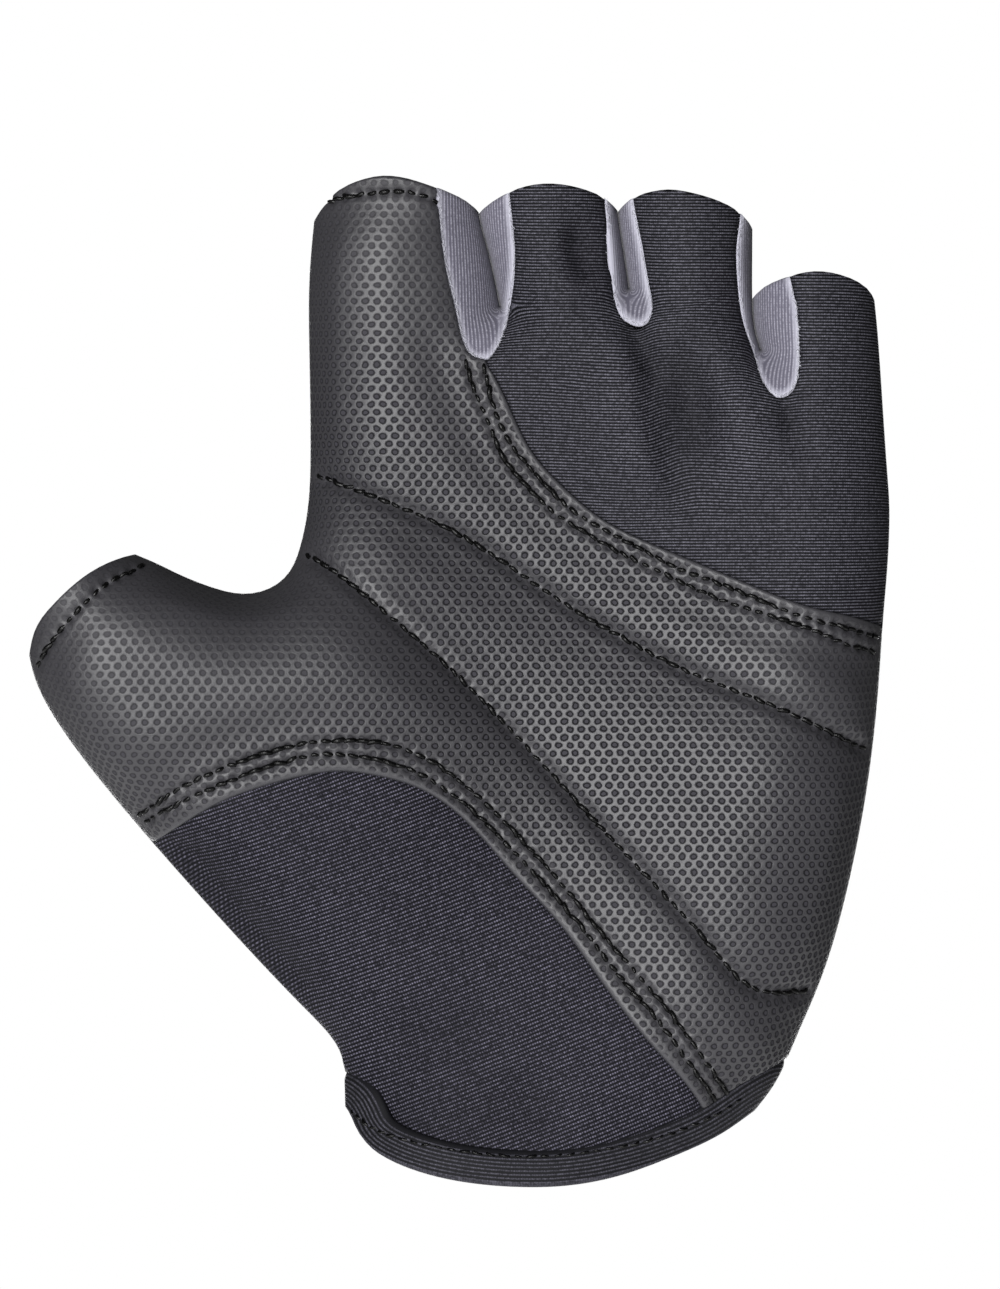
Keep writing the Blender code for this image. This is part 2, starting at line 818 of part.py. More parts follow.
def build():
    """Makes every piece of the glove."""
    clear_scene()
    glove = bpy.data.objects.new("glove", None)
    bpy.context.scene.collection.objects.link(glove)
    leather = material("embossed leather", (0.27, 0.27, 0.28), 0.5)
    knit = material("ribbed knit", (0.19, 0.19, 0.22), 0.85)
    strip = material("grey stretch strip", (0.56, 0.55, 0.60), 0.85)
    tape = material("binding tape", (0.15, 0.15, 0.17), 0.85)

    palm = one_sided(
        [
            "thumb_outer",
            "hem_thumb",
            "thumb_to_index",
            "hem_index",
            "strip_index_middle",
            "upper_border",
            "ulnar",
            "binding_top",
            "lower_border",
        ],
        rise=LEATHER_LAP,
        wall=LEATHER_WALL,
        quilted=True,
    )
    piece("palm_leather", palm, leather, glove)

    fingers = one_sided(
        [
            "strip_index_middle",
            "hem_middle",
            "strip_middle_ring",
            "hem_ring",
            "strip_ring_little",
            "hem_little",
            "ulnar",
            "upper_border",
        ],
        folds=(0, 1),
    )
    piece("finger_knit", fingers, knit, glove)

    heel = one_sided(["thumb_outer", "lower_border", "binding_top"], folds=(2,))
    piece("thenar_knit", heel, knit, glove)

    neighbours = (("index", "middle"), ("middle", "ring"), ("ring", "little"))
    for first, second in neighbours:
        name = f"{first}_{second}"
        front = ["strip_" + name, "hem_" + first, "slit_" + name, "hem_" + second]
        back = [edge.replace("hem_", "back_hem_") for edge in front]
        between = wrapped(front, back, -STRIP_SINK, STRIP_WALL)
        piece("fourchette_" + name, between, strip, glove)

    ring = wrapped(
        ["thumb_outer", "binding_top", "ulnar", "hem_wrist"],
        ["thumb_outer", "back_binding_top", "ulnar", "back_hem_wrist"],
        BINDING_RISE,
        BINDING_WALL,
    )
    piece("wrist_binding", ring, tape, glove)

    back = one_sided(
        [
            "thumb_outer",
            "back_hem_thumb",
            "thumb_to_index",
            "back_hem_index",
            "strip_index_middle",
            "back_hem_middle",
            "strip_middle_ring",
            "back_hem_ring",
            "strip_ring_little",
            "back_hem_little",
            "ulnar",
            "back_binding_top",
        ],
        back=True,
        net=BACK_NET,
    )
    piece("back_panel", back, knit, glove)


build()
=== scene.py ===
"""The look of a short-finger cycling glove for the left hand, filled out as it is when worn.

Units are metres and +Z is up. The palm faces -Y, the finger ends point up and the thumb lies towards -X.
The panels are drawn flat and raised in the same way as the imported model's, with much finer meshes, and
carry the relief of padding, quilting, dimples and folds. Threads and frayed edges follow the seams.
"""

from __future__ import annotations

import logging
import math
from dataclasses import dataclass, field
from enum import Enum
from typing import Any

import bpy
import numpy as np
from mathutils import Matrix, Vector
from mathutils.geometry import delaunay_2d_cdt

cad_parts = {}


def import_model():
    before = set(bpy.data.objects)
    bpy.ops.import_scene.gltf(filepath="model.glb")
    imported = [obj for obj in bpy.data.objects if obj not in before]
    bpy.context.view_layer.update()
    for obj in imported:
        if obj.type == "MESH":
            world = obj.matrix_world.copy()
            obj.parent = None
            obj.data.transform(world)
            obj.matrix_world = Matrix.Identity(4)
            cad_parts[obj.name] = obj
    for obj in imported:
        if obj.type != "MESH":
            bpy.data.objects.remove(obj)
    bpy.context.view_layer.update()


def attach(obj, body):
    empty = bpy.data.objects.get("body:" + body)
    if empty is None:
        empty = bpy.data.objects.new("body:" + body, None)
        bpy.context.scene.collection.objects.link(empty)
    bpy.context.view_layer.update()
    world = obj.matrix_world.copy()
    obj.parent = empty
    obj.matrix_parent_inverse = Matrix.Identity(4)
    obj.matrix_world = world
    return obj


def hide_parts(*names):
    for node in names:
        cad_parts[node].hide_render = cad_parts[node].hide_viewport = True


Table = tuple[tuple[float, ...], ...]
Places = tuple[tuple[Any, ...], ...]
Pair = tuple[float, float]
Line = tuple[np.ndarray, np.ndarray]
Skin = dict[str, Any]
Inputs = dict[Any, Any]
Material = bpy.types.Material
Node = bpy.types.Node
Socket = bpy.types.NodeSocket
Thing = bpy.types.Object

LOG = logging.getLogger("glove")
MILLIMETRE = 0.001
PROBE = 0.0001
TINY = 1e-12
ON_EDGE = 1e-6
MEETING = 5e-7
PAST_END = 1e-9
MERGE_REACH = 1e-8
CHUNK = 6000
NO_SEAM = 0.05
ATTRIBUTES = ("pattern", "edge", "emboss", "shade")

# Every table below holds shares: across is of the palm's width from the wrist's middle, up is of the
# glove's length from the lowest edge.

# Columns: across, up
SIDES: dict[str, Table] = {
    "thumb_outer": (
        (-0.357, -0.020), (-0.360, 0.035), (-0.362, 0.074), (-0.364, 0.109), (-0.369, 0.127),
        (-0.388, 0.146), (-0.440, 0.178), (-0.538, 0.238), (-0.686, 0.334), (-0.790, 0.406),
        (-0.850, 0.453), (-0.886, 0.489), (-0.902, 0.516), (-0.910, 0.541), (-0.919, 0.565),
    ),
    "thumb_to_index": (
        (-0.802, 0.655), (-0.753, 0.634), (-0.698, 0.620), (-0.647, 0.606), (-0.595, 0.594),
        (-0.543, 0.587), (-0.497, 0.591), (-0.460, 0.607), (-0.438, 0.637), (-0.426, 0.675),
        (-0.422, 0.729), (-0.424, 0.828), (-0.424, 0.898), (-0.417, 0.951), (-0.410, 0.992),
        (-0.405, 1.027),
    ),
    "ulnar": (
        (0.540, 0.938), (0.553, 0.872), (0.559, 0.834), (0.566, 0.775), (0.574, 0.709),
        (0.578, 0.668), (0.574, 0.610), (0.567, 0.561), (0.560, 0.501), (0.548, 0.430),
        (0.529, 0.358), (0.498, 0.275), (0.460, 0.203), (0.417, 0.144), (0.383, 0.101),
        (0.348, 0.073), (0.305, 0.043), (0.241, 0.000),
    ),
}
SLITS: dict[str, Table] = {
    "index_middle": ((-0.136, 1.027), (-0.131, 0.965), (-0.121, 0.941), (-0.110, 0.916), (-0.095, 0.874)),
    "middle_ring": ((0.102, 1.027), (0.109, 0.965), (0.116, 0.938), (0.128, 0.892)),
    "ring_little": ((0.341, 1.027), (0.341, 0.938), (0.341, 0.878), (0.345, 0.851), (0.355, 0.831)),
}
HEMS: dict[str, Table] = {
    "index": (
        (-0.436, 0.939), (-0.417, 0.957), (-0.388, 0.981), (-0.357, 0.993), (-0.298, 1.001),
        (-0.233, 0.995), (-0.181, 0.985), (-0.150, 0.975), (-0.131, 0.964),
    ),
    "middle": (
        (-0.131, 0.964), (-0.107, 0.976), (-0.066, 0.988), (-0.003, 0.993), (0.057, 0.987),
        (0.086, 0.979), (0.109, 0.965),
    ),
    "ring": (
        (0.109, 0.965), (0.133, 0.979), (0.164, 0.985), (0.198, 0.987), (0.250, 0.982),
        (0.293, 0.974), (0.322, 0.963), (0.341, 0.946),
    ),
    "little": (
        (0.341, 0.878), (0.362, 0.891), (0.402, 0.901), (0.453, 0.906), (0.505, 0.901),
        (0.538, 0.891), (0.553, 0.878), (0.567, 0.860),
    ),
    "thumb": (
        (-0.916, 0.497), (-0.905, 0.526), (-0.893, 0.551), (-0.853, 0.580), (-0.793, 0.609),
        (-0.747, 0.622), (-0.705, 0.627), (-0.655, 0.618),
    ),
    "wrist": (
        (-0.400, 0.084), (-0.363, 0.076), (-0.342, 0.054), (-0.318, 0.037), (-0.278, 0.024),
        (-0.181, 0.008), (-0.017, 0.001), (0.103, 0.010), (0.207, 0.028), (0.293, 0.051),
        (0.347, 0.072), (0.391, 0.086),
    ),
}
BORDERS: dict[str, Table] = {
    "upper_border": (
        (-0.131, 0.840), (-0.122, 0.820), (-0.095, 0.791), (-0.047, 0.733), (0.014, 0.692),
        (0.084, 0.659), (0.181, 0.632), (0.307, 0.602), (0.434, 0.574), (0.510, 0.564),
        (0.567, 0.554), (0.621, 0.543),
    ),
    "lower_border": (
        (-0.733, 0.326), (-0.686, 0.342), (-0.590, 0.377), (-0.486, 0.400), (-0.381, 0.412),
        (-0.319, 0.409), (-0.255, 0.400), (-0.193, 0.382), (-0.131, 0.350), (-0.064, 0.306),
        (0.009, 0.260), (0.088, 0.197), (0.162, 0.143), (0.209, 0.113), (0.255, 0.078),
        (0.278, 0.050),
    ),
}
STRIP_EDGES: dict[str, Table] = {
    "index_middle": (
        (-0.209, 1.027), (-0.203, 0.987), (-0.197, 0.952), (-0.188, 0.912), (-0.172, 0.873),
        (-0.157, 0.836), (-0.143, 0.824), (-0.126, 0.821), (-0.110, 0.824), (-0.093, 0.841),
        (-0.081, 0.863), (-0.072, 0.900), (-0.072, 0.938), (-0.079, 0.977), (-0.084, 1.027),
    ),
    "middle_ring": (
        (0.084, 1.027), (0.086, 0.978), (0.093, 0.938), (0.100, 0.894), (0.110, 0.870),
        (0.128, 0.859), (0.150, 0.856), (0.166, 0.868), (0.162, 0.890), (0.150, 0.930),
        (0.134, 0.978), (0.126, 1.027),
    ),
    "ring_little": (
        (0.322, 1.002), (0.319, 0.958), (0.314, 0.933), (0.316, 0.893), (0.326, 0.853),
        (0.343, 0.821), (0.360, 0.795), (0.386, 0.784), (0.409, 0.791), (0.419, 0.810),
        (0.419, 0.842), (0.414, 0.875), (0.403, 0.901), (0.391, 0.938),
    ),
}
QUILTING: tuple[Table, ...] = (
    (
        (-0.448, 0.712), (-0.388, 0.699), (-0.266, 0.673), (-0.138, 0.637), (-0.007, 0.586),
        (0.105, 0.547), (0.224, 0.511), (0.362, 0.479), (0.500, 0.443), (0.581, 0.420),
    ),
    (
        (-0.466, 0.634), (-0.400, 0.616), (-0.269, 0.558), (-0.169, 0.507), (-0.053, 0.438),
        (0.069, 0.361), (0.188, 0.288), (0.267, 0.238), (0.328, 0.200), (0.390, 0.188),
        (0.483, 0.195),
    ),
)
BORDER_ROWS: dict[str, Table] = {
    "upper outer": (
        (-0.122, 0.811), (-0.108, 0.779), (-0.079, 0.739), (-0.026, 0.701), (0.026, 0.672),
        (0.086, 0.650), (0.139, 0.634), (0.210, 0.613), (0.306, 0.592), (0.408, 0.568),
        (0.509, 0.552), (0.559, 0.543), (0.602, 0.536),
    ),
    "upper inner": (
        (-0.153, 0.816), (-0.138, 0.788), (-0.112, 0.753), (-0.086, 0.720), (-0.045, 0.692),
        (0.000, 0.667), (0.046, 0.650), (0.105, 0.630), (0.191, 0.606), (0.256, 0.588),
        (0.332, 0.572), (0.434, 0.553), (0.509, 0.536), (0.559, 0.528), (0.602, 0.521),
    ),
    "lower outer": (
        (-0.748, 0.344), (-0.704, 0.360), (-0.631, 0.383), (-0.547, 0.404), (-0.506, 0.413),
        (-0.422, 0.426), (-0.360, 0.427), (-0.298, 0.421), (-0.243, 0.411), (-0.205, 0.399),
        (-0.151, 0.376), (-0.110, 0.354), (-0.040, 0.312), (0.046, 0.255), (0.124, 0.198),
        (0.181, 0.160), (0.239, 0.114), (0.277, 0.083), (0.298, 0.062),
    ),
    "lower inner": (
        (-0.748, 0.356), (-0.707, 0.370), (-0.652, 0.391), (-0.606, 0.405), (-0.547, 0.419),
        (-0.465, 0.434), (-0.409, 0.440), (-0.339, 0.441), (-0.277, 0.436), (-0.243, 0.429),
        (-0.205, 0.418), (-0.169, 0.403), (-0.131, 0.385), (-0.088, 0.361), (0.009, 0.300),
        (0.065, 0.260), (0.143, 0.208), (0.220, 0.154), (0.258, 0.123), (0.301, 0.087),
        (0.322, 0.068),
    ),
}
HEM_ROWS: dict[str, Table] = {
    "index": (
        (-0.422, 0.973), (-0.382, 0.979), (-0.353, 0.983), (-0.310, 0.986), (-0.268, 0.987),
        (-0.239, 0.985), (-0.217, 0.981), (-0.189, 0.974),
    ),
    "thumb": (
        (-0.896, 0.509), (-0.883, 0.524), (-0.853, 0.550), (-0.809, 0.577), (-0.771, 0.597),
        (-0.735, 0.608), (-0.704, 0.618), (-0.680, 0.628),
    ),
}
BINDING_ROW: Table = (
    (-0.353, 0.072), (-0.317, 0.056), (-0.246, 0.042), (-0.175, 0.034), (-0.103, 0.029),
    (-0.010, 0.028), (0.084, 0.034), (0.181, 0.046), (0.267, 0.065), (0.318, 0.082),
)

# Columns: place, across, up, front depth and back depth as shares of the palm's depth, how far in the
# surface levels out as a share of the side's round, and how far the outline leans towards the back
FORM: Places = (
    ("index end", -0.276, 0.947, 0.76, 0.72, 1.00, -0.15),
    ("middle end", -0.009, 0.947, 0.75, 0.72, 1.00, -0.25),
    ("ring end", 0.221, 0.938, 0.73, 0.70, 1.00, -0.30),
    ("little end", 0.448, 0.858, 0.68, 0.66, 0.95, -0.40),
    ("index base", -0.293, 0.759, 0.93, 0.92, 1.15, 0.10),
    ("middle base", 0.009, 0.749, 0.96, 1.00, 1.30, 0.15),
    ("ring base", 0.250, 0.739, 0.95, 0.97, 1.30, 0.10),
    ("little base", 0.457, 0.709, 0.90, 0.85, 1.15, -0.10),
    ("palm hollow", 0.078, 0.501, 0.98, 1.05, 1.60, 0.15),
    ("little side", 0.405, 0.421, 1.20, 0.96, 1.50, -0.05),
    ("thumb mound", -0.388, 0.382, 1.38, 1.00, 1.55, -0.30),
    ("thumb end", -0.793, 0.561, 0.84, 0.80, 0.95, -1.00),
    ("thumb base", -0.595, 0.481, 1.08, 0.88, 1.15, -0.65),
    ("heel", 0.112, 0.253, 1.26, 1.14, 1.80, 0.05),
    ("wrist middle", 0.000, 0.084, 1.34, 1.28, 2.00, 0.00),
    ("wrist thumb side", -0.267, 0.104, 1.32, 1.24, 1.70, 0.00),
    ("wrist little side", 0.284, 0.124, 1.28, 1.20, 1.70, 0.00),
)

# Columns: place, across, up, how deep the dimples are there as a share of their full depth
EMBOSS: Places = (
    ("index end", -0.276, 0.970, 0.40),
    ("index middle", -0.300, 0.850, 0.70),
    ("index base", -0.300, 0.740, 0.95),
    ("upper pad", 0.000, 0.640, 1.00),
    ("middle pad", 0.050, 0.480, 1.00),
    ("little side", 0.420, 0.350, 0.95),
    ("little edge", 0.540, 0.480, 0.60),
    ("thumb web", -0.500, 0.545, 0.20),
    ("thumb top", -0.650, 0.570, 0.20),
    ("thumb mound", -0.420, 0.470, 1.00),
    ("thumb pad", -0.700, 0.480, 1.00),
    ("thumb hem", -0.850, 0.560, 0.30),
    ("thumb edge", -0.800, 0.430, 0.45),
    ("heel", 0.250, 0.200, 0.80),
)

EDGE_ENDS: dict[str, tuple[str, str]] = {
    "hem_index": ("thumb_to_index", "slit_index_middle"),
    "hem_middle": ("slit_index_middle", "slit_middle_ring"),
    "hem_ring": ("slit_middle_ring", "slit_ring_little"),
    "hem_little": ("slit_ring_little", "ulnar"),
    "hem_thumb": ("thumb_outer", "thumb_to_index"),
    "hem_wrist": ("thumb_outer", "ulnar"),
    "binding_top": ("thumb_outer", "ulnar"),
}


class Face(Enum):
    """Which face of the hand a panel lies on, as its direction along Y."""

    FRONT = -1
    BACK = 1


class Follows(Enum):
    """Which way a panel's fabric pattern runs."""

    ACROSS = "ribs run across the hand"
    ALONG = "ribs run along the fingers"
    TILTED = "ribs rise towards the little finger"
    EDGE = "ribs follow the wrist's edge"


@dataclass(frozen=True)
class Sizes:
    """The glove's main sizes in metres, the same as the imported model's."""

    palm_width: float = 0.093
    length: float = 0.161
    palm_depth: float = 0.014
    side_round: float = 0.013
    slit_round: float = 0.011
    slit_width: float = 0.0008
    slit_end_steps: int = 9
    slit_left: float = 0.000006
    slit_squeeze: float = 0.0025
    wrist_level: float = 0.035
    form_reach: float = 0.11
    binding_height: float = 0.0048
    back_edge_share: float = 0.45
    seam_gap: float = 0.00012
    curve_step: float = 0.0005
    edge_step: float = 0.0012
    corner_room: float = 0.0003
    turn_step: float = math.radians(10)

    def place(self, across: float, up: float) -> tuple[float, float]:
        """X and Z of a row of a table."""
        return (across * self.palm_width, (up - self.wrist_level) * self.length)


SIZES = Sizes()


def spline(rows: Table) -> np.ndarray:
    """Draws the natural cubic spline through a table's rows, as close points of X and Z."""
    knots = np.array([SIZES.place(*row) for row in rows])
    gaps = np.sqrt(np.linalg.norm(np.diff(knots, axis=0), axis=1))
    last = len(knots) - 1
    system = np.eye(last + 1)
    bends = np.zeros_like(knots)
    for i in range(1, last):
        system[i, i - 1 : i + 2] = gaps[i - 1], 2 * (gaps[i - 1] + gaps[i]), gaps[i]
        bends[i] = 6 * ((knots[i + 1] - knots[i]) / gaps[i] - (knots[i] - knots[i - 1]) / gaps[i - 1])
    bends = np.linalg.solve(system, bends)
    points = []
    for i in range(last):
        gap = gaps[i]
        count = max(2, math.ceil(gap**2 / SIZES.curve_step))
        after = (np.arange(count) / count * gap)[:, None]
        before = gap - after
        points.append(
            (bends[i] * before**3 + bends[i + 1] * after**3) / (6 * gap)
            + (knots[i] / gap - bends[i] * gap / 6) * before
            + (knots[i + 1] / gap - bends[i + 1] * gap / 6) * after
        )
    return np.vstack([*points, knots[-1:]])


def shifted(curve: np.ndarray, distance: float) -> np.ndarray:
    """Moves a curve's points sideways, to the left of its direction where distance is above 0."""
    ahead = np.diff(curve, axis=0)
    ahead /= np.linalg.norm(ahead, axis=1)[:, None]
    sides = np.column_stack([-ahead[:, 1], ahead[:, 0]])
    middle = np.vstack([sides[:1], sides]) + np.vstack([sides, sides[-1:]])
    return curve + distance * 2 * middle / (middle**2).sum(axis=1)[:, None]


def thinned(curve: np.ndarray, step: float = SIZES.edge_step) -> np.ndarray:
    """Keeps as few of a curve's close points as its bends need, at most a step apart."""
    kept = [0]
    travelled = 0.0
    turned = 0.0
    for i in range(1, len(curve) - 1):
        into = curve[i] - curve[i - 1]
        out = curve[i + 1] - curve[i]
        travelled += math.hypot(*into)
        turned += abs(math.atan2(into[0] * out[1] - into[1] * out[0], into @ out))
        if travelled > step or turned > SIZES.turn_step:
            kept.append(i)
            travelled = 0.0
            turned = 0.0
    return curve[[*kept, len(curve) - 1]]


def through(rows: Table, step: float = SIZES.edge_step) -> np.ndarray:
    """The curve through a table's rows, with as few points as it needs."""
    return thinned(spline(rows), step)


def around_slit(middle: np.ndarray) -> np.ndarray:
    """Draws a slit's outline: down beside its middle line, round the end and up again."""
    half = SIZES.slit_width / 2
    ahead = middle[-1] - middle[-2]
    heading = math.atan2(ahead[1], ahead[0])
    turns = heading - math.pi / 2 + np.linspace(0, math.pi, SIZES.slit_end_steps)[1:-1]
    end = middle[-1] + half * np.column_stack([np.cos(turns), np.sin(turns)])
    return np.vstack([shifted(middle, -half), end, shifted(middle, half)[::-1]])


def extended(curve: np.ndarray, length: float) -> np.ndarray:
    """Carries a curve straight on past both its ends, with one point more at each."""
    ends = []
    for end, before in ((curve[0], curve[1]), (curve[-1], curve[-2])):
        ahead = end - before
        ends.append(end + ahead * length / math.hypot(*ahead))
    return np.vstack([ends[:1], curve, ends[1:]])


def crossing(first: np.ndarray, second: np.ndarray) -> tuple[float, float, np.ndarray]:
    """Finds where two curves cross: each one's segment number with its fraction, and the point."""
    a = first[:-1, None]
    u = np.diff(first, axis=0)[:, None]
    b = second[None, :-1]
    v = np.diff(second, axis=0)[None]
    cross = u[..., 0] * v[..., 1] - u[..., 1] * v[..., 0]
    cross[cross == 0] = TINY**2
    gap = b - a
    s = (gap[..., 0] * v[..., 1] - gap[..., 1] * v[..., 0]) / cross
    t = (gap[..., 0] * u[..., 1] - gap[..., 1] * u[..., 0]) / cross
    half = 0.5 + PAST_END
    i, j = np.argwhere((np.abs(s - 0.5) < half) & (np.abs(t - 0.5) < half))[0]
    return i + s[i, j], j + t[i, j], first[i] + s[i, j] * (first[i + 1] - first[i])


@dataclass
class Nearness:
    """How points lie to a curve's nearest point: side is 1 on its right, and outward leads to it."""

    distance: np.ndarray
    side: np.ndarray
    along: np.ndarray
    outward: np.ndarray


def nearest(points: np.ndarray, curve: np.ndarray) -> Nearness:
    """Finds how near each point is to a curve."""
    start = curve[:-1]
    along = np.diff(curve, axis=0)
    squares = (along**2).sum(axis=1)
    travelled = np.concatenate([[0], np.sqrt(squares).cumsum()])
    parts = []
    for chunk in np.array_split(points, max(1, len(points) // CHUNK)):
        across = chunk[:, :1] - start[:, 0]
        up = chunk[:, 1:] - start[:, 1]
        share = np.clip((across * along[:, 0] + up * along[:, 1]) / squares, 0, 1)
        away_across = across - share * along[:, 0]
        away_up = up - share * along[:, 1]
        index = (away_across**2 + away_up**2).argmin(axis=1)
        rows = np.arange(len(chunk))
        away = np.column_stack([away_across[rows, index], away_up[rows, index]])
        distance = np.hypot(*away.T)
        turn = along[index, 0] * up[rows, index] - along[index, 1] * across[rows, index]
        side = np.where(turn > 0, -1.0, 1.0)
        left = np.column_stack([-along[index, 1], along[index, 0]]) / np.sqrt(squares[index])[:, None]
        clear = distance > ON_EDGE
        outward = np.where(clear[:, None], -away / np.maximum(distance, TINY)[:, None], left)
        reached = travelled[index] + share[rows, index] * np.sqrt(squares[index])
        parts.append((distance, side, reached, outward))
    return Nearness(*(np.concatenate(part) for part in zip(*parts)))


def inside(points: np.ndarray, loop: np.ndarray) -> np.ndarray:
    """Tells whether each point lies inside a closed loop."""
    ahead = np.roll(loop, -1, axis=0)
    rise = ahead[:, 1] - loop[:, 1]
    rise[rise == 0] = TINY**2
    found = []
    for chunk in np.array_split(points, max(1, len(points) // CHUNK)):
        x = chunk[:, None, 0]
        z = chunk[:, None, 1]
        spans = (loop[:, 1] > z) != (ahead[:, 1] > z)
        at = loop[:, 0] + (z - loop[:, 1]) / rise * (ahead[:, 0] - loop[:, 0])
        found.append((spans & (x < at)).sum(axis=1) % 2 == 1)
    return np.concatenate(found)


def smoothed(value: np.ndarray) -> np.ndarray:
    """The smooth step from 0 to 1 of values between 0 and 1."""
    share = np.clip(value, 0, 1)
    return share * share * (3 - 2 * share)


def bell(distance: np.ndarray, width: float) -> np.ndarray:
    """A soft bump that is 1 on a line and fades over a width beside it."""
    return np.exp(-((distance / width) ** 2))


def blended(points: np.ndarray, rows: Places, reach: float) -> np.ndarray:
    """Blends a table's values over a reach, one row for each column after place, across and up."""
    places = np.array([SIZES.place(row[1], row[2]) for row in rows])
    values = np.array([row[3:] for row in rows])
    squares = ((points[:, None] - places[None]) ** 2).sum(axis=2)
    weights = np.exp(-squares / (2 * reach**2))
    return (weights @ values / weights.sum(axis=1)[:, None]).T


def is_free(name: str) -> bool:
    """Tells whether a curve is an edge that isn't sewn to another panel."""
    return name in SIDES or "hem_" in name or name.startswith("slit_")


@dataclass
class Drawing:
    """The glove drawn flat: every curve that its panels are cut along, by name."""

    curves: dict[str, np.ndarray] = field(init=False)
    slit_lines: dict[str, np.ndarray] = field(init=False)

    def __post_init__(self) -> None:
        """Draws the curves."""
        self.slit_lines = {name: through(rows) for name, rows in SLITS.items()}
        self.curves = {name: through(rows) for name, rows in (SIDES | BORDERS).items()}
        for name, line in self.slit_lines.items():
            self.curves["slit_" + name] = around_slit(line)
            self.curves["strip_" + name] = through(STRIP_EDGES[name])
        edges = {"hem_" + name: through(rows) for name, rows in HEMS.items()}
        height = SIZES.binding_height
        edges["binding_top"] = extended(shifted(edges["hem_wrist"], height), 2 * height)
        for name, edge in edges.items():
            sides = [self.curves[side] for side in EDGE_ENDS[name]]
            self.curves[name], first, last = self.pinned(edge, sides)
            self.curves["back_" + name] = self.flattened(self.curves[name], first, last)

    @staticmethod
    def pinned(curve: np.ndarray, sides: list[np.ndarray]) -> tuple[np.ndarray, int, int]:
        """Adds a point to a curve where it crosses each of two sides, and gives their numbers."""
        first, _, start = crossing(curve, sides[0])
        last, _, end = crossing(curve, sides[1])
        i = math.floor(first) + 1
        j = math.floor(last) + 1
        return np.vstack([curve[:i], [start], curve[i:j], [end], curve[j:]]), i, j + 1

    @staticmethod
    def flattened(curve: np.ndarray, first: int, last: int) -> np.ndarray:
        """Draws a front edge nearer to the straight line between its pinned ends, for the back."""
        inner = curve[first : last + 1]
        reach = np.linalg.norm(np.diff(inner, axis=0), axis=1).cumsum()
        shares = np.concatenate([[0], reach / reach[-1]])[:, None]
        chord = inner[0] + (inner[-1] - inner[0]) * shares
        drawn = chord + (inner - chord) * SIZES.back_edge_share
        return np.vstack([curve[:first], drawn, curve[last + 1 :]])

    @staticmethod
    def walked(curves: dict[str, np.ndarray], names: list[str]) -> list[tuple[np.ndarray, bool]]:
        """Follows named curves from crossing to crossing, and tells which are run forwards."""
        count = len(names)
        corners = [crossing(curves[names[i - 1]], curves[names[i]]) for i in range(count)]
        sides = []
        for i, name in enumerate(names):
            start = corners[i][1]
            end = corners[(i + 1) % count][0]
            ends = (corners[i][2], corners[(i + 1) % count][2])
            if start < end:
                inner = curves[name][math.floor(start) + 1 : math.ceil(end)]
            else:
                inner = curves[name][math.floor(end) + 1 : math.ceil(start)][::-1]
            room = SIZES.corner_room
            away = [point for point in inner if min(math.dist(point, end) for end in ends) > room]
            sides.append((np.array([ends[0], *away]), start < end))
        return sides

    def panel(self, names: list[str]) -> tuple[list[np.ndarray], list[str]]:
        """Cuts a panel out, anticlockwise, drawn in by half the gap along its seams only."""
        sides = self.walked(self.curves, names)
        loop = np.vstack([side for side, _ in sides])
        ahead = np.roll(loop, -1, axis=0)
        anticlockwise = np.sum(loop[:, 0] * ahead[:, 1] - loop[:, 1] * ahead[:, 0]) > 0
        drawn = dict(self.curves)
        for name, (_, forward) in zip(names, sides):
            if is_free(name):
                continue
            inward = 1 if forward == anticlockwise else -1
            drawn[name] = shifted(self.curves[name], inward * SIZES.seam_gap / 2)
        cut = [side for side, _ in self.walked(drawn, names)]
        if not anticlockwise:
            cut = [np.vstack([cut[i][1:], cut[(i + 1) % len(cut)][:1]])[::-1] for i in range(len(cut))]
            cut.reverse()
            names = names[::-1]
        return cut, names


@dataclass
class Raised:
    """A panel's surface above its flat points. Unfolded is the fabric's own flat coordinates."""

    points: np.ndarray
    normals: np.ndarray
    unfolded: np.ndarray
    side_distance: np.ndarray


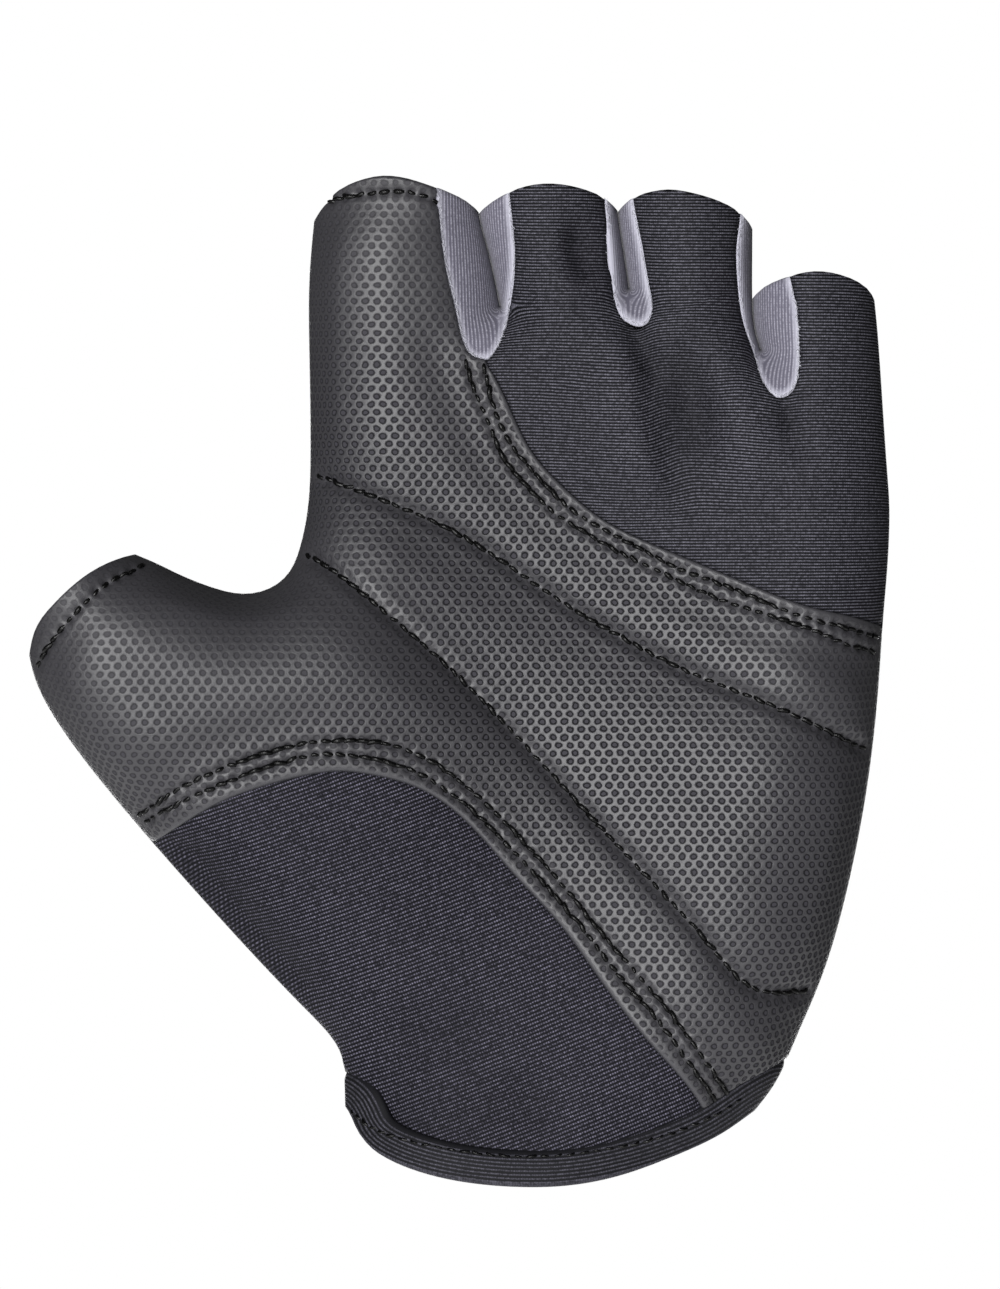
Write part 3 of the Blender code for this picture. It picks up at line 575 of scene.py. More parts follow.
@dataclass
class HandForm:
    """The filled hand's surface over the drawing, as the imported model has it."""

    drawing: Drawing
    steepness_power: float = 1.4

    def raise_points(self, flat: np.ndarray, face: Face, rise: float, shift: float) -> Raised:
        """Raises flat points above the knit, shifted clear of the outline's plane."""
        reach = SIZES.form_reach * SIZES.length
        column = 0 if face is Face.FRONT else 1
        values = blended(flat, FORM, reach)
        depth = values[column] * SIZES.palm_depth + rise
        tilt = [
            (blended(flat + step, FORM, reach) - blended(flat - step, FORM, reach))[column]
            * SIZES.palm_depth
            / (2 * PROBE)
            for step in ((PROBE, 0), (0, PROBE))
        ]
        side_reach = values[2] * SIZES.side_round
        levels = []
        unfolded = flat.copy()
        squeezed = flat.copy()
        side_distance = np.full(len(flat), np.inf)
        half = SIZES.slit_width / 2
        bounds = [(self.drawing.curves[name], False) for name in SIDES]
        bounds += [(line, True) for line in self.drawing.slit_lines.values()]
        for curve, is_slit in bounds:
            near = nearest(flat, curve)
            radius = SIZES.slit_round if is_slit else side_reach
            distance = near.distance - half if is_slit else near.distance * near.side
            distance = np.where(np.abs(distance) < ON_EDGE, 0, np.maximum(distance, 0))
            if is_slit:
                push = (half - SIZES.slit_left) * bell(distance, SIZES.slit_squeeze)
                squeezed += near.outward * push[:, None]
            left = np.clip(1 - distance / radius, 0, 1)
            flare = radius * (np.arcsin(left) - left) * (depth / radius) ** self.steepness_power
            unfolded += near.outward * flare[:, None]
            levels.append((1 - left**2, 2 * left / radius, near.outward))
            side_distance = np.minimum(side_distance, distance)
        product = np.prod([level for level, _, _ in levels], axis=0)
        slope = 2 * (depth * product)[:, None] * np.column_stack(tilt)
        for i, (_, steep, outward) in enumerate(levels):
            others = np.prod([level for j, (level, _, _) in enumerate(levels) if j != i], axis=0)
            slope -= (depth**2 * steep * others)[:, None] * outward
        height = depth * np.sqrt(np.maximum(product, 0))
        normals = np.column_stack([-slope[:, 0], 2 * face.value * height, -slope[:, 1]])
        normals /= np.maximum(np.linalg.norm(normals, axis=1), TINY)[:, None]
        across = face.value * (height + shift) + values[3] * SIZES.palm_depth
        points = np.column_stack([squeezed[:, 0], across, squeezed[:, 1]])
        return Raised(points, normals, unfolded, side_distance)


def triangulated(loop: np.ndarray, inner: np.ndarray) -> tuple[np.ndarray, np.ndarray]:
    """Fills an anticlockwise loop with triangles over the given inner points."""
    points = [Vector(point) for point in np.vstack([loop, inner])]
    made = delaunay_2d_cdt(points, [], [list(range(len(loop)))], 1, MERGE_REACH)
    return np.array([tuple(point) for point in made[0]]), np.array([list(face) for face in made[2]])


def quartered(flat: np.ndarray, faces: np.ndarray) -> tuple[np.ndarray, np.ndarray]:
    """Cuts each triangle in four at the middles of its sides."""
    sides = np.sort(faces[:, [[0, 1], [1, 2], [2, 0]]].reshape(-1, 2), axis=1)
    unique, number = np.unique(sides, axis=0, return_inverse=True)
    a, b, c = faces.T
    ab, bc, ca = (len(flat) + number.reshape(-1, 3)).T
    made = np.vstack(
        [
            np.column_stack([a, ab, ca]),
            np.column_stack([ab, b, bc]),
            np.column_stack([ca, bc, c]),
            np.column_stack([ab, bc, ca]),
        ]
    )
    return np.vstack([flat, flat[unique].mean(axis=1)]), made


def free_edges(faces: np.ndarray) -> np.ndarray:
    """The directed edges that only one triangle has, as pairs of point numbers."""
    edges = faces[:, [[0, 1], [1, 2], [2, 0]]].reshape(-1, 2)
    total = int(faces.max()) + 1
    forward = edges[:, 0].astype(np.int64) * total + edges[:, 1]
    backward = edges[:, 1].astype(np.int64) * total + edges[:, 0]
    return edges[~np.isin(forward, backward)]


def ordered_loop(edges: np.ndarray) -> np.ndarray:
    """The point numbers of a panel's boundary, in the order of its directed edges."""
    ahead = dict(edges.tolist())
    start = int(edges[0, 0])
    loop = [start]
    while ahead[loop[-1]] != start:
        loop.append(ahead[loop[-1]])
    return np.array(loop)


@dataclass(frozen=True)
class Groove:
    """A line pressed into a panel's surface by sewing or folding."""

    route: Table
    depth: float
    width: float
    drop: float = 0.0
    end_fade: float = 0.0
    slip_fade: float = 0.012
    pucker: float = 0.0
    pitch: float = 0.002

    @staticmethod
    def within(near: Nearness, fade: float) -> np.ndarray:
        """How far within the line's ends each point is, from 0 at an end to 1."""
        return smoothed(near.along / fade) * smoothed((near.along.max() - near.along) / fade)

    def pressed(self, flat: np.ndarray) -> np.ndarray:
        """How deep the surface is pressed at each flat point."""
        near = nearest(flat, through(self.route))
        wave = 1 - self.pucker * (0.5 + 0.5 * np.cos(2 * math.pi * near.along / self.pitch))
        if self.end_fade:
            wave = wave * self.within(near, self.end_fade)
        return self.depth * bell(near.distance, self.width) * wave

    def slipped(self, flat: np.ndarray) -> np.ndarray:
        """How far the ribs have slipped down across the line at each flat point."""
        near = nearest(flat, through(self.route))
        across = near.distance * near.side
        faded = bell(np.maximum(np.abs(across) - self.width, 0), self.slip_fade)
        slip = smoothed(0.5 - across / (2 * self.width)) - 0.5
        return self.drop * slip * self.within(near, self.slip_fade) * faded


@dataclass
class Panel:
    """One sewn panel: a wall that is raised from a loop of the drawing."""

    form: HandForm
    names: list[str]
    face: Face = Face.FRONT
    rise: float = 0.0
    wall: float = 0.0012
    net: float = 0.0017
    levels: int = 1
    shift: float = SIZES.seam_gap / 2
    follows: Follows = Follows.ACROSS
    folds: tuple[Groove, ...] = ()
    grooves: tuple[Groove, ...] = ()
    rim_round: float = 0.0003
    edge_fall: float = 0.0
    edge_fall_width: float = 0.0008
    rows: tuple[float, ...] = (0.015, 0.06, 0.134, 0.234)
    inner_rows: tuple[float, ...] = (0.03, 0.134, 0.40)
    inner_net: float = 0.0034
    room_share: float = 0.7
    row_step: float = 0.8
    loop_room: float = 0.45
    row_room: float = 0.62
    chunk: int = 400
    tilt: float = math.radians(22)
    tilt_bend: float = 0.8
    side_fade: float = 0.0022

    sides: list[np.ndarray] = field(init=False)
    side_names: list[str] = field(init=False)

    def __post_init__(self) -> None:
        """Cuts the panel out of the drawing."""
        self.sides, self.side_names = self.form.drawing.panel(self.names)

    def seams(self) -> list[np.ndarray]:
        """The sides that are sewn to another panel."""
        following = self.sides[1:] + self.sides[:1]
        return [
            np.vstack([side, after[:1]])
            for name, side, after in zip(self.side_names, self.sides, following)
            if not is_free(name)
        ]

    def net_points(self, low: np.ndarray, high: np.ndarray, step: float) -> np.ndarray:
        """An even triangular net over a box."""
        pitch = step * math.sqrt(3) / 2
        counts = np.ceil((high - low) / (step, pitch)).astype(int) + 1
        rows, columns = np.mgrid[0 : counts[1], 0 : counts[0]]
        across = low[0] + (columns + 0.5 * (rows % 2)) * step
        return np.column_stack([across.ravel(), (low[1] + rows * pitch).ravel()])

    def filling(self, loop: np.ndarray, shares: tuple[float, ...], step: float) -> np.ndarray:
        """Fills a loop: rows along the sides, at shares of their round, then an even net."""
        closed = np.vstack([loop, loop[:1]])
        kept = loop
        found = []
        curves = self.form.drawing.curves
        for name in self.side_names:
            if name not in SIDES and not name.startswith("slit_"):
                continue
            before = 0.0
            for share in shares:
                distance = share * SIZES.side_round
                room = self.room_share * (distance - before)
                before = distance
                row = shifted(curves[name], -distance)
                if share > shares[0]:
                    row = thinned(row, self.row_step * step)
                row = row[inside(row, loop)]
                if not len(row):
                    continue
                row = row[nearest(row, closed).distance > min(room, self.loop_room * step)]
                apart = [point for point in row if (np.hypot(*(kept - point).T) > room).all()]
                if apart:
                    kept = np.vstack([kept, apart])
                    found.append(np.array(apart))
        net = self.net_points(loop.min(axis=0), loop.max(axis=0), step)
        net = net[inside(net, loop)]
        net = net[nearest(net, closed).distance > self.loop_room * step]
        near = np.full(len(net), np.inf)
        for chunk in np.array_split(kept, max(1, len(kept) // self.chunk)):
            gaps = np.hypot(net[:, :1] - chunk[:, 0], net[:, 1:] - chunk[:, 1])
            near = np.minimum(near, gaps.min(axis=1))
        found.append(net[near > self.row_room * step])
        return np.vstack(found)

    def folded(self, flat: np.ndarray) -> Raised:
        """The panel's surface with its folds and without its finer relief."""
        made = self.form.raise_points(flat, self.face, self.rise, self.shift)
        clear = smoothed(made.side_distance / self.side_fade)
        for fold in self.folds:
            made.points = made.points - (fold.pressed(flat) * clear)[:, None] * made.normals
        return made

    def relief(self, flat: np.ndarray, made: Raised) -> np.ndarray:
        """How far the finer relief stands above the folded surface at each flat point."""
        height = np.zeros(len(flat))
        clear = smoothed(made.side_distance / self.side_fade)
        for groove in self.grooves:
            height -= groove.pressed(flat) * clear
        if self.edge_fall:
            for seam in self.seams():
                height -= self.edge_fall * bell(nearest(flat, seam).distance, self.edge_fall_width)
        return height

    def outside(self, flat: np.ndarray) -> tuple[np.ndarray, np.ndarray, np.ndarray]:
        """The outer surface's points and normals, and the fabric's own flat coordinates."""
        made = self.folded(flat)
        height = self.relief(flat, made)
        return made.points + height[:, None] * made.normals, made.normals, made.unfolded

    def pattern(self, flat: np.ndarray, unfolded: np.ndarray) -> np.ndarray:
        """Coordinates of the fabric's pattern: along its ribs, across them, and 0."""
        across, up = unfolded.T.copy()
        for fold in self.folds:
            up = up - fold.slipped(flat)
        if self.follows is Follows.ALONG:
            across, up = up, across
        elif self.follows is Follows.TILTED:
            cos, sin = math.cos(self.tilt), math.sin(self.tilt)
            across = flat[:, 0] * cos + flat[:, 1] * sin
            up = flat[:, 1] * cos - flat[:, 0] * sin - self.tilt_bend * across**2
        elif self.follows is Follows.EDGE:
            hem = "hem_wrist" if self.face is Face.FRONT else "back_hem_wrist"
            near = nearest(flat, self.form.drawing.curves[hem])
            across, up = near.along, near.distance
        return np.column_stack([across, up, np.zeros(len(flat))])

    def attributes(self, flat: np.ndarray, unfolded: np.ndarray) -> dict[str, np.ndarray]:
        """What the materials read at each point."""
        # The folds' depth, which the knits read to paint shade in the hollows and light on raised folds
        shade = sum((fold.pressed(flat) for fold in self.folds), np.zeros(len(flat)))
        edge = np.full(len(flat), NO_SEAM)
        for seam in self.seams():
            edge = np.minimum(edge, nearest(flat, seam).distance)
        return dict(zip(ATTRIBUTES, (self.pattern(flat, unfolded), edge, np.ones(len(flat)), shade)))

    def skins(self) -> tuple[Skin, Skin]:
        """Makes the outer and inner surfaces. The inner one's first points lie below the outer rim."""
        loop = np.vstack(self.sides)
        flat, faces = triangulated(loop, self.filling(loop, self.rows, self.net))
        for _ in range(self.levels):
            flat, faces = quartered(flat, faces)
        rim = ordered_loop(free_edges(faces))
        outer, _, unfolded = self.outside(flat)
        inner_points = self.filling(flat[rim], self.inner_rows, self.inner_net)
        inner_flat, inner_faces = triangulated(flat[rim], inner_points)
        made = self.folded(inner_flat)
        inner = made.points - self.wall * made.normals
        if self.face is Face.BACK:
            faces = faces[:, ::-1]
        else:
            inner_faces = inner_faces[:, ::-1]
        return (
            {"points": outer, "faces": faces, "rim": rim, **self.attributes(flat, unfolded)},
            {"points": inner, "faces": inner_faces, **self.attributes(inner_flat, made.unfolded)},
        )


def joined(skins: list[Skin]) -> Skin:
    """Joins surfaces where their points meet. Numbers are the new ones of all the old points."""
    points = np.vstack([skin["points"] for skin in skins])
    counts = np.cumsum([0, *(len(skin["points"]) for skin in skins)])
    faces = np.vstack([skin["faces"] + start for skin, start in zip(skins, counts)])
    cells = np.round(points / MEETING).astype(np.int64)
    _, first, numbers = np.unique(cells, axis=0, return_index=True, return_inverse=True)
    numbers = numbers.ravel()
    made = {"points": points[first], "faces": numbers[faces], "numbers": numbers, "starts": counts}
    for name in ATTRIBUTES:
        made[name] = np.concatenate([skin[name] for skin in skins])[first]
    return made


@dataclass
class Shell:
    """A closed piece: outer surfaces, inner ones and rounded rims between them."""

    name: str
    panels: list[Panel]
    rim_rows: int = 3

    def mesh(self, finish: Material, lining: Material) -> bpy.types.Mesh:
        """Makes the mesh: the outside and rims in its finish, the inside in the lining."""
        pairs = [panel.skins() for panel in self.panels]
        outer = joined([pair[0] for pair in pairs])
        inner = joined([pair[1] for pair in pairs])
        partner = np.full(len(outer["points"]), -1)
        for i, (skin, _) in enumerate(pairs):
            old_outer = skin["rim"] + outer["starts"][i]
            old_inner = np.arange(len(skin["rim"])) + inner["starts"][i]
            partner[outer["numbers"][old_outer]] = inner["numbers"][old_inner]
        edges = free_edges(outer["faces"])
        points, faces, attributes, is_inner = self.with_rims(outer, inner, partner, edges)
        mesh = bpy.data.meshes.new(self.name)
        mesh.from_pydata(points.tolist(), [], faces.tolist())
        for name, values in attributes.items():
            kind, part = ("FLOAT_VECTOR", "vector") if values.ndim == 2 else ("FLOAT", "value")
            made = mesh.attributes.new(name, kind, "POINT")
            made.data.foreach_set(part, values.astype(np.float32).ravel())
        mesh.materials.append(finish)
        mesh.materials.append(lining)
        mesh.polygons.foreach_set("material_index", is_inner.astype(np.int32))
        mesh.shade_smooth()
        mesh.update()
        return mesh

    def with_rims(
        self, outer: Skin, inner: Skin, partner: np.ndarray, edges: np.ndarray
    ) -> tuple[np.ndarray, np.ndarray, dict[str, np.ndarray], np.ndarray]:
        """Closes the rims, where partner is the inner point below each outer rim point."""
        rim = np.unique(edges)
        place = np.full(len(outer["points"]), -1)
        place[rim] = np.arange(len(rim))
        top = outer["points"][rim]
        bottom = inner["points"][partner[rim]]
        ahead = outer["points"][edges[:, 1]] - outer["points"][edges[:, 0]]
        thickness = outer["points"][edges[:, 0]] - inner["points"][partner[edges[:, 0]]]
        away = np.cross(ahead, thickness)
        away /= np.maximum(np.linalg.norm(away, axis=1), TINY)[:, None]
        bulge = np.zeros_like(top)
        for column in (0, 1):
            np.add.at(bulge, place[edges[:, column]], away)
        bulge /= np.maximum(np.linalg.norm(bulge, axis=1), TINY)[:, None]
        depth = self.panels[0].rim_round
        count = len(outer["points"]) + len(inner["points"])
        layers = [rim]
        points = [outer["points"], inner["points"]]
        for i in range(1, self.rim_rows + 1):
            share = i / (self.rim_rows + 1)
            points.append(top + (bottom - top) * share + bulge * depth * math.sin(math.pi * share))
            layers.append(count + np.arange(len(rim)))
            count += len(rim)
        layers.append(len(outer["points"]) + partner[rim])
        a = place[edges[:, 0]]
        b = place[edges[:, 1]]
        rims = []
        for upper, lower in zip(layers, layers[1:]):
            rims.append(np.column_stack([upper[b], upper[a], lower[a]]))
            rims.append(np.column_stack([upper[b], lower[a], lower[b]]))
        inner_faces = inner["faces"] + len(outer["points"])
        faces = np.vstack([outer["faces"], inner_faces, *rims])
        counts = [len(outer["faces"]), len(inner_faces), sum(map(len, rims))]
        is_inner = np.repeat([False, True, False], counts)
        attributes = {
            name: np.concatenate([outer[name], inner[name], *[outer[name][rim]] * self.rim_rows])
            for name in ATTRIBUTES
        }
        return np.vstack(points), faces, attributes, is_inner


@dataclass
class Wiring:
    """Adds nodes to one node tree."""

    tree: bpy.types.NodeTree

    def add(self, kind: str, inputs: Inputs | None = None, **settings: Any) -> Node:
        """Adds a node with its properties, and links a socket or sets a value for each input."""
        node = self.tree.nodes.new(kind)
        for name, value in settings.items():
            setattr(node, name, value)
        for key, value in (inputs or {}).items():
            if isinstance(value, Socket):
                self.tree.links.new(value, node.inputs[key])
            else:
                node.inputs[key].default_value = value
        return node

    def result(self, kind: str, inputs: Inputs | None = None, **settings: Any) -> Socket:
        """Adds a node and gives its first output."""
        return self.add(kind, inputs, **settings).outputs[0]

    def maths(self, operation: str, *values: Any) -> Socket:
        """The result of an operation on numbers."""
        return self.result("ShaderNodeMath", dict(enumerate(values)), operation=operation)

    def vector(self, operation: str, *values: Any) -> Socket:
        """The result of an operation on vectors."""
        made = self.add("ShaderNodeVectorMath", dict(enumerate(values)), operation=operation)
        return made.outputs["Value" if operation == "LENGTH" else "Vector"]

    def mapped(self, value: Socket, before: Pair, after: Pair, kind: str = "LINEAR") -> Socket:
        """A value moved from one range to another."""
        inputs = dict(enumerate((value, *before, *after)))
        return self.result("ShaderNodeMapRange", inputs, interpolation_type=kind)

    def mixed(self, share: Socket, first: Any, second: Any) -> Socket:
        """Two colours, mixed by the second one's share."""
        return self.add("ShaderNodeMix", {0: share, 6: first, 7: second}, data_type="RGBA").outputs[2]

    def read(self, name: str) -> Socket:
        """A mesh attribute: the pattern is a vector and the others are numbers."""
        made = self.add("ShaderNodeAttribute", attribute_name=name)
        return made.outputs["Vector" if name == "pattern" else "Fac"]

    def clouds(self, scale: float, detail: float = 2.0) -> Socket:
        """Soft variation over the piece, with about scale patches a metre."""
        where = self.add("ShaderNodeTexCoord").outputs["Object"]
        return self.result("ShaderNodeTexNoise", {"Vector": where, "Scale": scale, "Detail": detail})

    def bump(
        self, height: Socket, strength: float, distance: float, invert: bool = False, **over: Socket
    ) -> Socket:
        """The surface's direction with bumps on it, over those of another bump where one is given."""
        inputs = {"Strength": strength, "Distance": distance, "Height": height}
        return self.result("ShaderNodeBump", inputs | over, invert=invert)


def linear(hex_value: str) -> tuple[float, float, float, float]:
    """Turns an sRGB hex colour to linear, with alpha."""
    parts = [int(hex_value[i : i + 2], 16) / 255 for i in (1, 3, 5)]
    return (*(part / 12.92 if part <= 0.04045 else ((part + 0.055) / 1.055) ** 2.4 for part in parts), 1.0)


@dataclass(frozen=True)
class Finish:
    """A plain material. The other kinds draw their own patterns."""

    name: str
    colour: str
    roughness: float = 0.8
    ior: float = 1.5
    sheen: float = 0.0
    sheen_roughness: float = 0.4
    cloud_scale: float = 300
    cloud_share: float = 0.75
    cloud_detail: float = 3.0
    strand_scale: float = 3500
    strand_strength: float = 0.7
    strand_depth: float = 0.12 * MILLIMETRE

    def start(self) -> tuple[Material, Wiring, Node]:
        """Makes an empty material with a shader and its output."""
        made = bpy.data.materials.new(self.name)
        made.use_nodes = True
        made.node_tree.nodes.clear()
        nodes = Wiring(made.node_tree)
        inputs = {
            "Base Color": linear(self.colour),
            "Roughness": self.roughness,
            "IOR": self.ior,
            "Sheen Weight": self.sheen,
            "Sheen Roughness": self.sheen_roughness,
        }
        shader = nodes.add("ShaderNodeBsdfPrincipled", inputs)
        nodes.add("ShaderNodeOutputMaterial", {"Surface": shader.outputs[0]})
        return made, nodes, shader

    def clouded(self, nodes: Wiring) -> Socket:
        """The colour, with soft patches of a darker share of it."""
        colour = linear(self.colour)
        dark = (*(self.cloud_share * part for part in colour[:3]), 1.0)
        return nodes.mixed(nodes.clouds(self.cloud_scale, self.cloud_detail), dark, colour)

    def drawn(self, nodes: Wiring) -> dict[str, Socket]:
        """What the shader's inputs are drawn from."""
        strands = nodes.clouds(self.strand_scale, self.cloud_detail)
        return {
            "Base Color": self.clouded(nodes),
            "Normal": nodes.bump(strands, self.strand_strength, self.strand_depth),
        }

    def material(self) -> Material:
        """Makes the material."""
        made, nodes, shader = self.start()
        for name, socket in self.drawn(nodes).items():
            nodes.tree.links.new(socket, shader.inputs[name])
        return made


@dataclass(frozen=True)
class EmbossedLeather(Finish):
    """Microfibre synthetic leather, dyed through and pressed with a hex-packed field of oval dimples.

    The raised net is burnished by the press and wear, so it is a little glossier than the dimples' floors.
    Each dimple's wall is painted with a dark ring of shade around a slightly paler floor.
    """

    cloud_scale: float = 90
    cloud_share: float = 0.72
    # The dimples' dark colour is painted shade on their walls
    dimple: str = "#030304"
    floor: str = "#37363b"
    # The cut edge's paler tone is partly the raw edge's own and partly a painted highlight
    cut_edge_and_highlight: str = "#55555a"
    cut_edge_width: float = 0.6 * MILLIMETRE
    cut_edge_share: float = 0.15
    across: float = 1.80 * MILLIMETRE
    row: float = 1.27 * MILLIMETRE
    oval: float = 1.12
    ring_start: float = 0.26 * MILLIMETRE
    floor_radius: float = 0.40 * MILLIMETRE
    wall_radius: float = 0.44 * MILLIMETRE
    rim_radius: float = 0.73 * MILLIMETRE
    press_depth: float = 0.09 * MILLIMETRE
    press_strength: float = 0.9
    grain: float = 0.35 * MILLIMETRE
    grain_strength: float = 0.35
    grain_depth: float = 0.08 * MILLIMETRE
    unevenness: float = 0.60 * MILLIMETRE
    uneven_scale: float = 700
    dulling: float = 0.3
    net_specular: float = 0.5
    floor_specular: float = 0.08
    dull_depth: float = 0.8

    def drawn(self, nodes: Wiring) -> dict[str, Socket]:
        """The dimples with their dark rings of painted shade, the worn net between them, and the paler cut
        edge with its painted highlight.
        """
        pattern = nodes.read("pattern")
        drift = nodes.add("ShaderNodeTexNoise", {"Vector": pattern, "Scale": self.uneven_scale})
        offset = nodes.vector("MULTIPLY_ADD", drift.outputs["Color"], (self.unevenness,) * 3, pattern)
        scaled = nodes.vector("MULTIPLY", offset, (1 / self.across, 1 / (2 * self.row), 0))
        reaches = []
        for start in (0.0, 0.5):
            cell = nodes.vector("FRACTION", nodes.vector("ADD", scaled, (start, start, 0)))
            centred = nodes.vector("SUBTRACT", cell, (0.5, 0.5, 0))
            real = nodes.vector("MULTIPLY", centred, (self.across, 2 * self.row * self.oval, 0))
            reaches.append(nodes.vector("LENGTH", real))
        reach = nodes.maths("MINIMUM", *reaches)
        pressed = nodes.mapped(reach, (self.floor_radius, self.rim_radius), (1.0, 0.0), "SMOOTHSTEP")
        depth = nodes.maths("MULTIPLY", pressed, nodes.read("emboss"))
        ring = nodes.mapped(reach, (self.ring_start, self.wall_radius), (0.0, 1.0), "SMOOTHSTEP")
        floored = nodes.mixed(depth, self.clouded(nodes), linear(self.floor))
        # The dark ring is painted shade where the dimples' walls fall away
        ring_shaded = nodes.mixed(nodes.maths("MULTIPLY", ring, depth), floored, linear(self.dimple))
        # Paler towards the seams: the raw cut edge's tone with a painted highlight
        edge = nodes.mapped(nodes.read("edge"), (0.0, self.cut_edge_width), (self.cut_edge_share, 0.0))
        press = nodes.bump(depth, self.press_strength, self.press_depth, invert=True)
        grain = nodes.clouds(1 / self.grain)
        dull = min(1.0, self.roughness + self.dulling)
        specular = (self.net_specular, self.floor_specular)
        return {
            "Base Color": nodes.mixed(edge, ring_shaded, linear(self.cut_edge_and_highlight)),
            "Roughness": nodes.mapped(depth, (0.0, 1.0), (self.roughness, dull)),
            "Specular IOR Level": nodes.mapped(depth, (0.0, self.dull_depth), specular),
            "Normal": nodes.bump(grain, self.grain_strength, self.grain_depth, Normal=press),
        }


@dataclass(frozen=True)
class RibbedKnit(Finish):
    """Textured polyamide yarn, knitted in fine raised ribs.

    The colour paints light on the crown of every rib and shade in its groove. The yarn's loops break each
    rib into small beads, and loose filaments catch painted glints. A fold's hollow gets painted shade and a
    raised fold painted light. Along its seams the knit gets painted shade, while the strip fabric shows its
    own paler frayed edge.
    """

    cloud_scale: float = 60
    cloud_share: float = 0.8
    # The groove colour is painted shade between the ribs' crowns
    groove: str = "#101014"
    # The edge colour is painted shade along the knits' seams, where the knit curls down; the strip fabric's
    # is its own paler frayed edge
    seam_shade_and_fray_colour: str = "#101014"
    edge_width: float = 0.6 * MILLIMETRE
    edge_share: float = 0.5
    pitch: float = 0.50 * MILLIMETRE
    loop: float = 0.42 * MILLIMETRE
    loop_share: float = 0.35
    painted_glint_share: float = 0.70
    painted_glint_scale: float = 2200
    painted_glint_range: Pair = (0.35, 0.65)
    drift_scale: float = 220
    fold_depth: float = 2.0 * MILLIMETRE
    fold_painted_light_range: Pair = (1.2, 0.6)
    rib_depth: float = 0.12 * MILLIMETRE
    rib_strength: float = 0.9
    crown_start: float = -0.6
    fuzz_scale: float = 4000
    fuzz_strength: float = 0.4
    fuzz_depth: float = 0.05 * MILLIMETRE

    def drawn(self, nodes: Wiring) -> dict[str, Socket]:
        """The ribs' crowns in painted light, broken into beads, their grooves in painted shade, and the
        panel's edge.
        """
        places = nodes.add("ShaderNodeSeparateXYZ", {0: nodes.read("pattern")}).outputs
        drift = nodes.clouds(self.drift_scale)
        across, along = (
            nodes.maths("SINE", nodes.maths("MULTIPLY_ADD", place, 2 * math.pi / step, drift))
            for place, step in ((places[1], self.pitch), (places[0], self.loop))
        )
        crown = nodes.mapped(across, (self.crown_start, 1.0), (0.0, 1.0), "SMOOTHSTEP")
        beads = nodes.mapped(along, (-1.0, 1.0), (1 - self.loop_share, 1.0))
        raised = nodes.maths("MULTIPLY", crown, beads)
        # Painted glints: the crowns' painted light varies in small spots
        painted_glints = nodes.mapped(nodes.clouds(self.painted_glint_scale), self.painted_glint_range, (1 - self.painted_glint_share, 1.0))
        # Painted shade in the folds' hollows and painted light on raised folds
        fold_painted_light = nodes.mapped(nodes.read("shade"), (-self.fold_depth, self.fold_depth), self.fold_painted_light_range)
        painted_rib_light = nodes.maths("MULTIPLY", nodes.maths("MULTIPLY", raised, painted_glints), fold_painted_light)
        # Painted light on the crowns and painted shade in the grooves
        ribs = nodes.mixed(painted_rib_light, linear(self.groove), self.clouded(nodes))
        # Along the seams: painted shade on the knits, the paler frayed edge on the strip fabric
        edge = nodes.mapped(nodes.read("edge"), (0.0, self.edge_width), (self.edge_share, 0.0))
        soft = nodes.bump(raised, self.rib_strength, self.rib_depth)
        fuzz = nodes.clouds(self.fuzz_scale)
        return {
            "Base Color": nodes.mixed(edge, ribs, linear(self.seam_shade_and_fray_colour)),
            "Normal": nodes.bump(fuzz, self.fuzz_strength, self.fuzz_depth, Normal=soft),
        }


LEATHER = EmbossedLeather("pressed_microfibre_leather", "#302f33", roughness=0.54, ior=1.62)
FRONT_KNIT = RibbedKnit("ribbed_polyamide_knit", "#6f6e79", roughness=0.7, ior=1.20, groove="#0a0a0d")
THENAR_KNIT = RibbedKnit(
    "ribbed_polyamide_knit_thumb_mound",
    "#7c798b",
    roughness=0.7,
    ior=1.20,
    groove="#09090d",
    pitch=0.62 * MILLIMETRE,
    loop_share=0.85,
    painted_glint_share=0.80,
)
STRIP_FABRIC = RibbedKnit(
    "grey_stretch_warp_knit",
    "#a3a1ae",
    roughness=0.85,
    sheen=0.1,
    groove="#53515e",
    seam_shade_and_fray_colour="#aeadb9",
    edge_width=1.0 * MILLIMETRE,
    edge_share=0.8,
    pitch=0.60 * MILLIMETRE,
    rib_depth=0.07 * MILLIMETRE,
)
TAPE, BACK_KNIT = (
    RibbedKnit(name, colour, roughness=0.7, ior=1.25, groove="#0b0b0e", pitch=0.62 * MILLIMETRE)
    for name, colour in (("ribbed_binding_tape", "#54535d"), ("plain_back_knit", "#504f59"))
)
LINING = Finish("brushed_tricot_lining", "#1c1c20", roughness=0.95, sheen=0.1)
THREAD = Finish("bonded_polyester_thread", "#020202", roughness=0.35, ior=1.33)
FIBRE = Finish("cut_polyamide_fibres", "#c4c4ce", roughness=0.7)


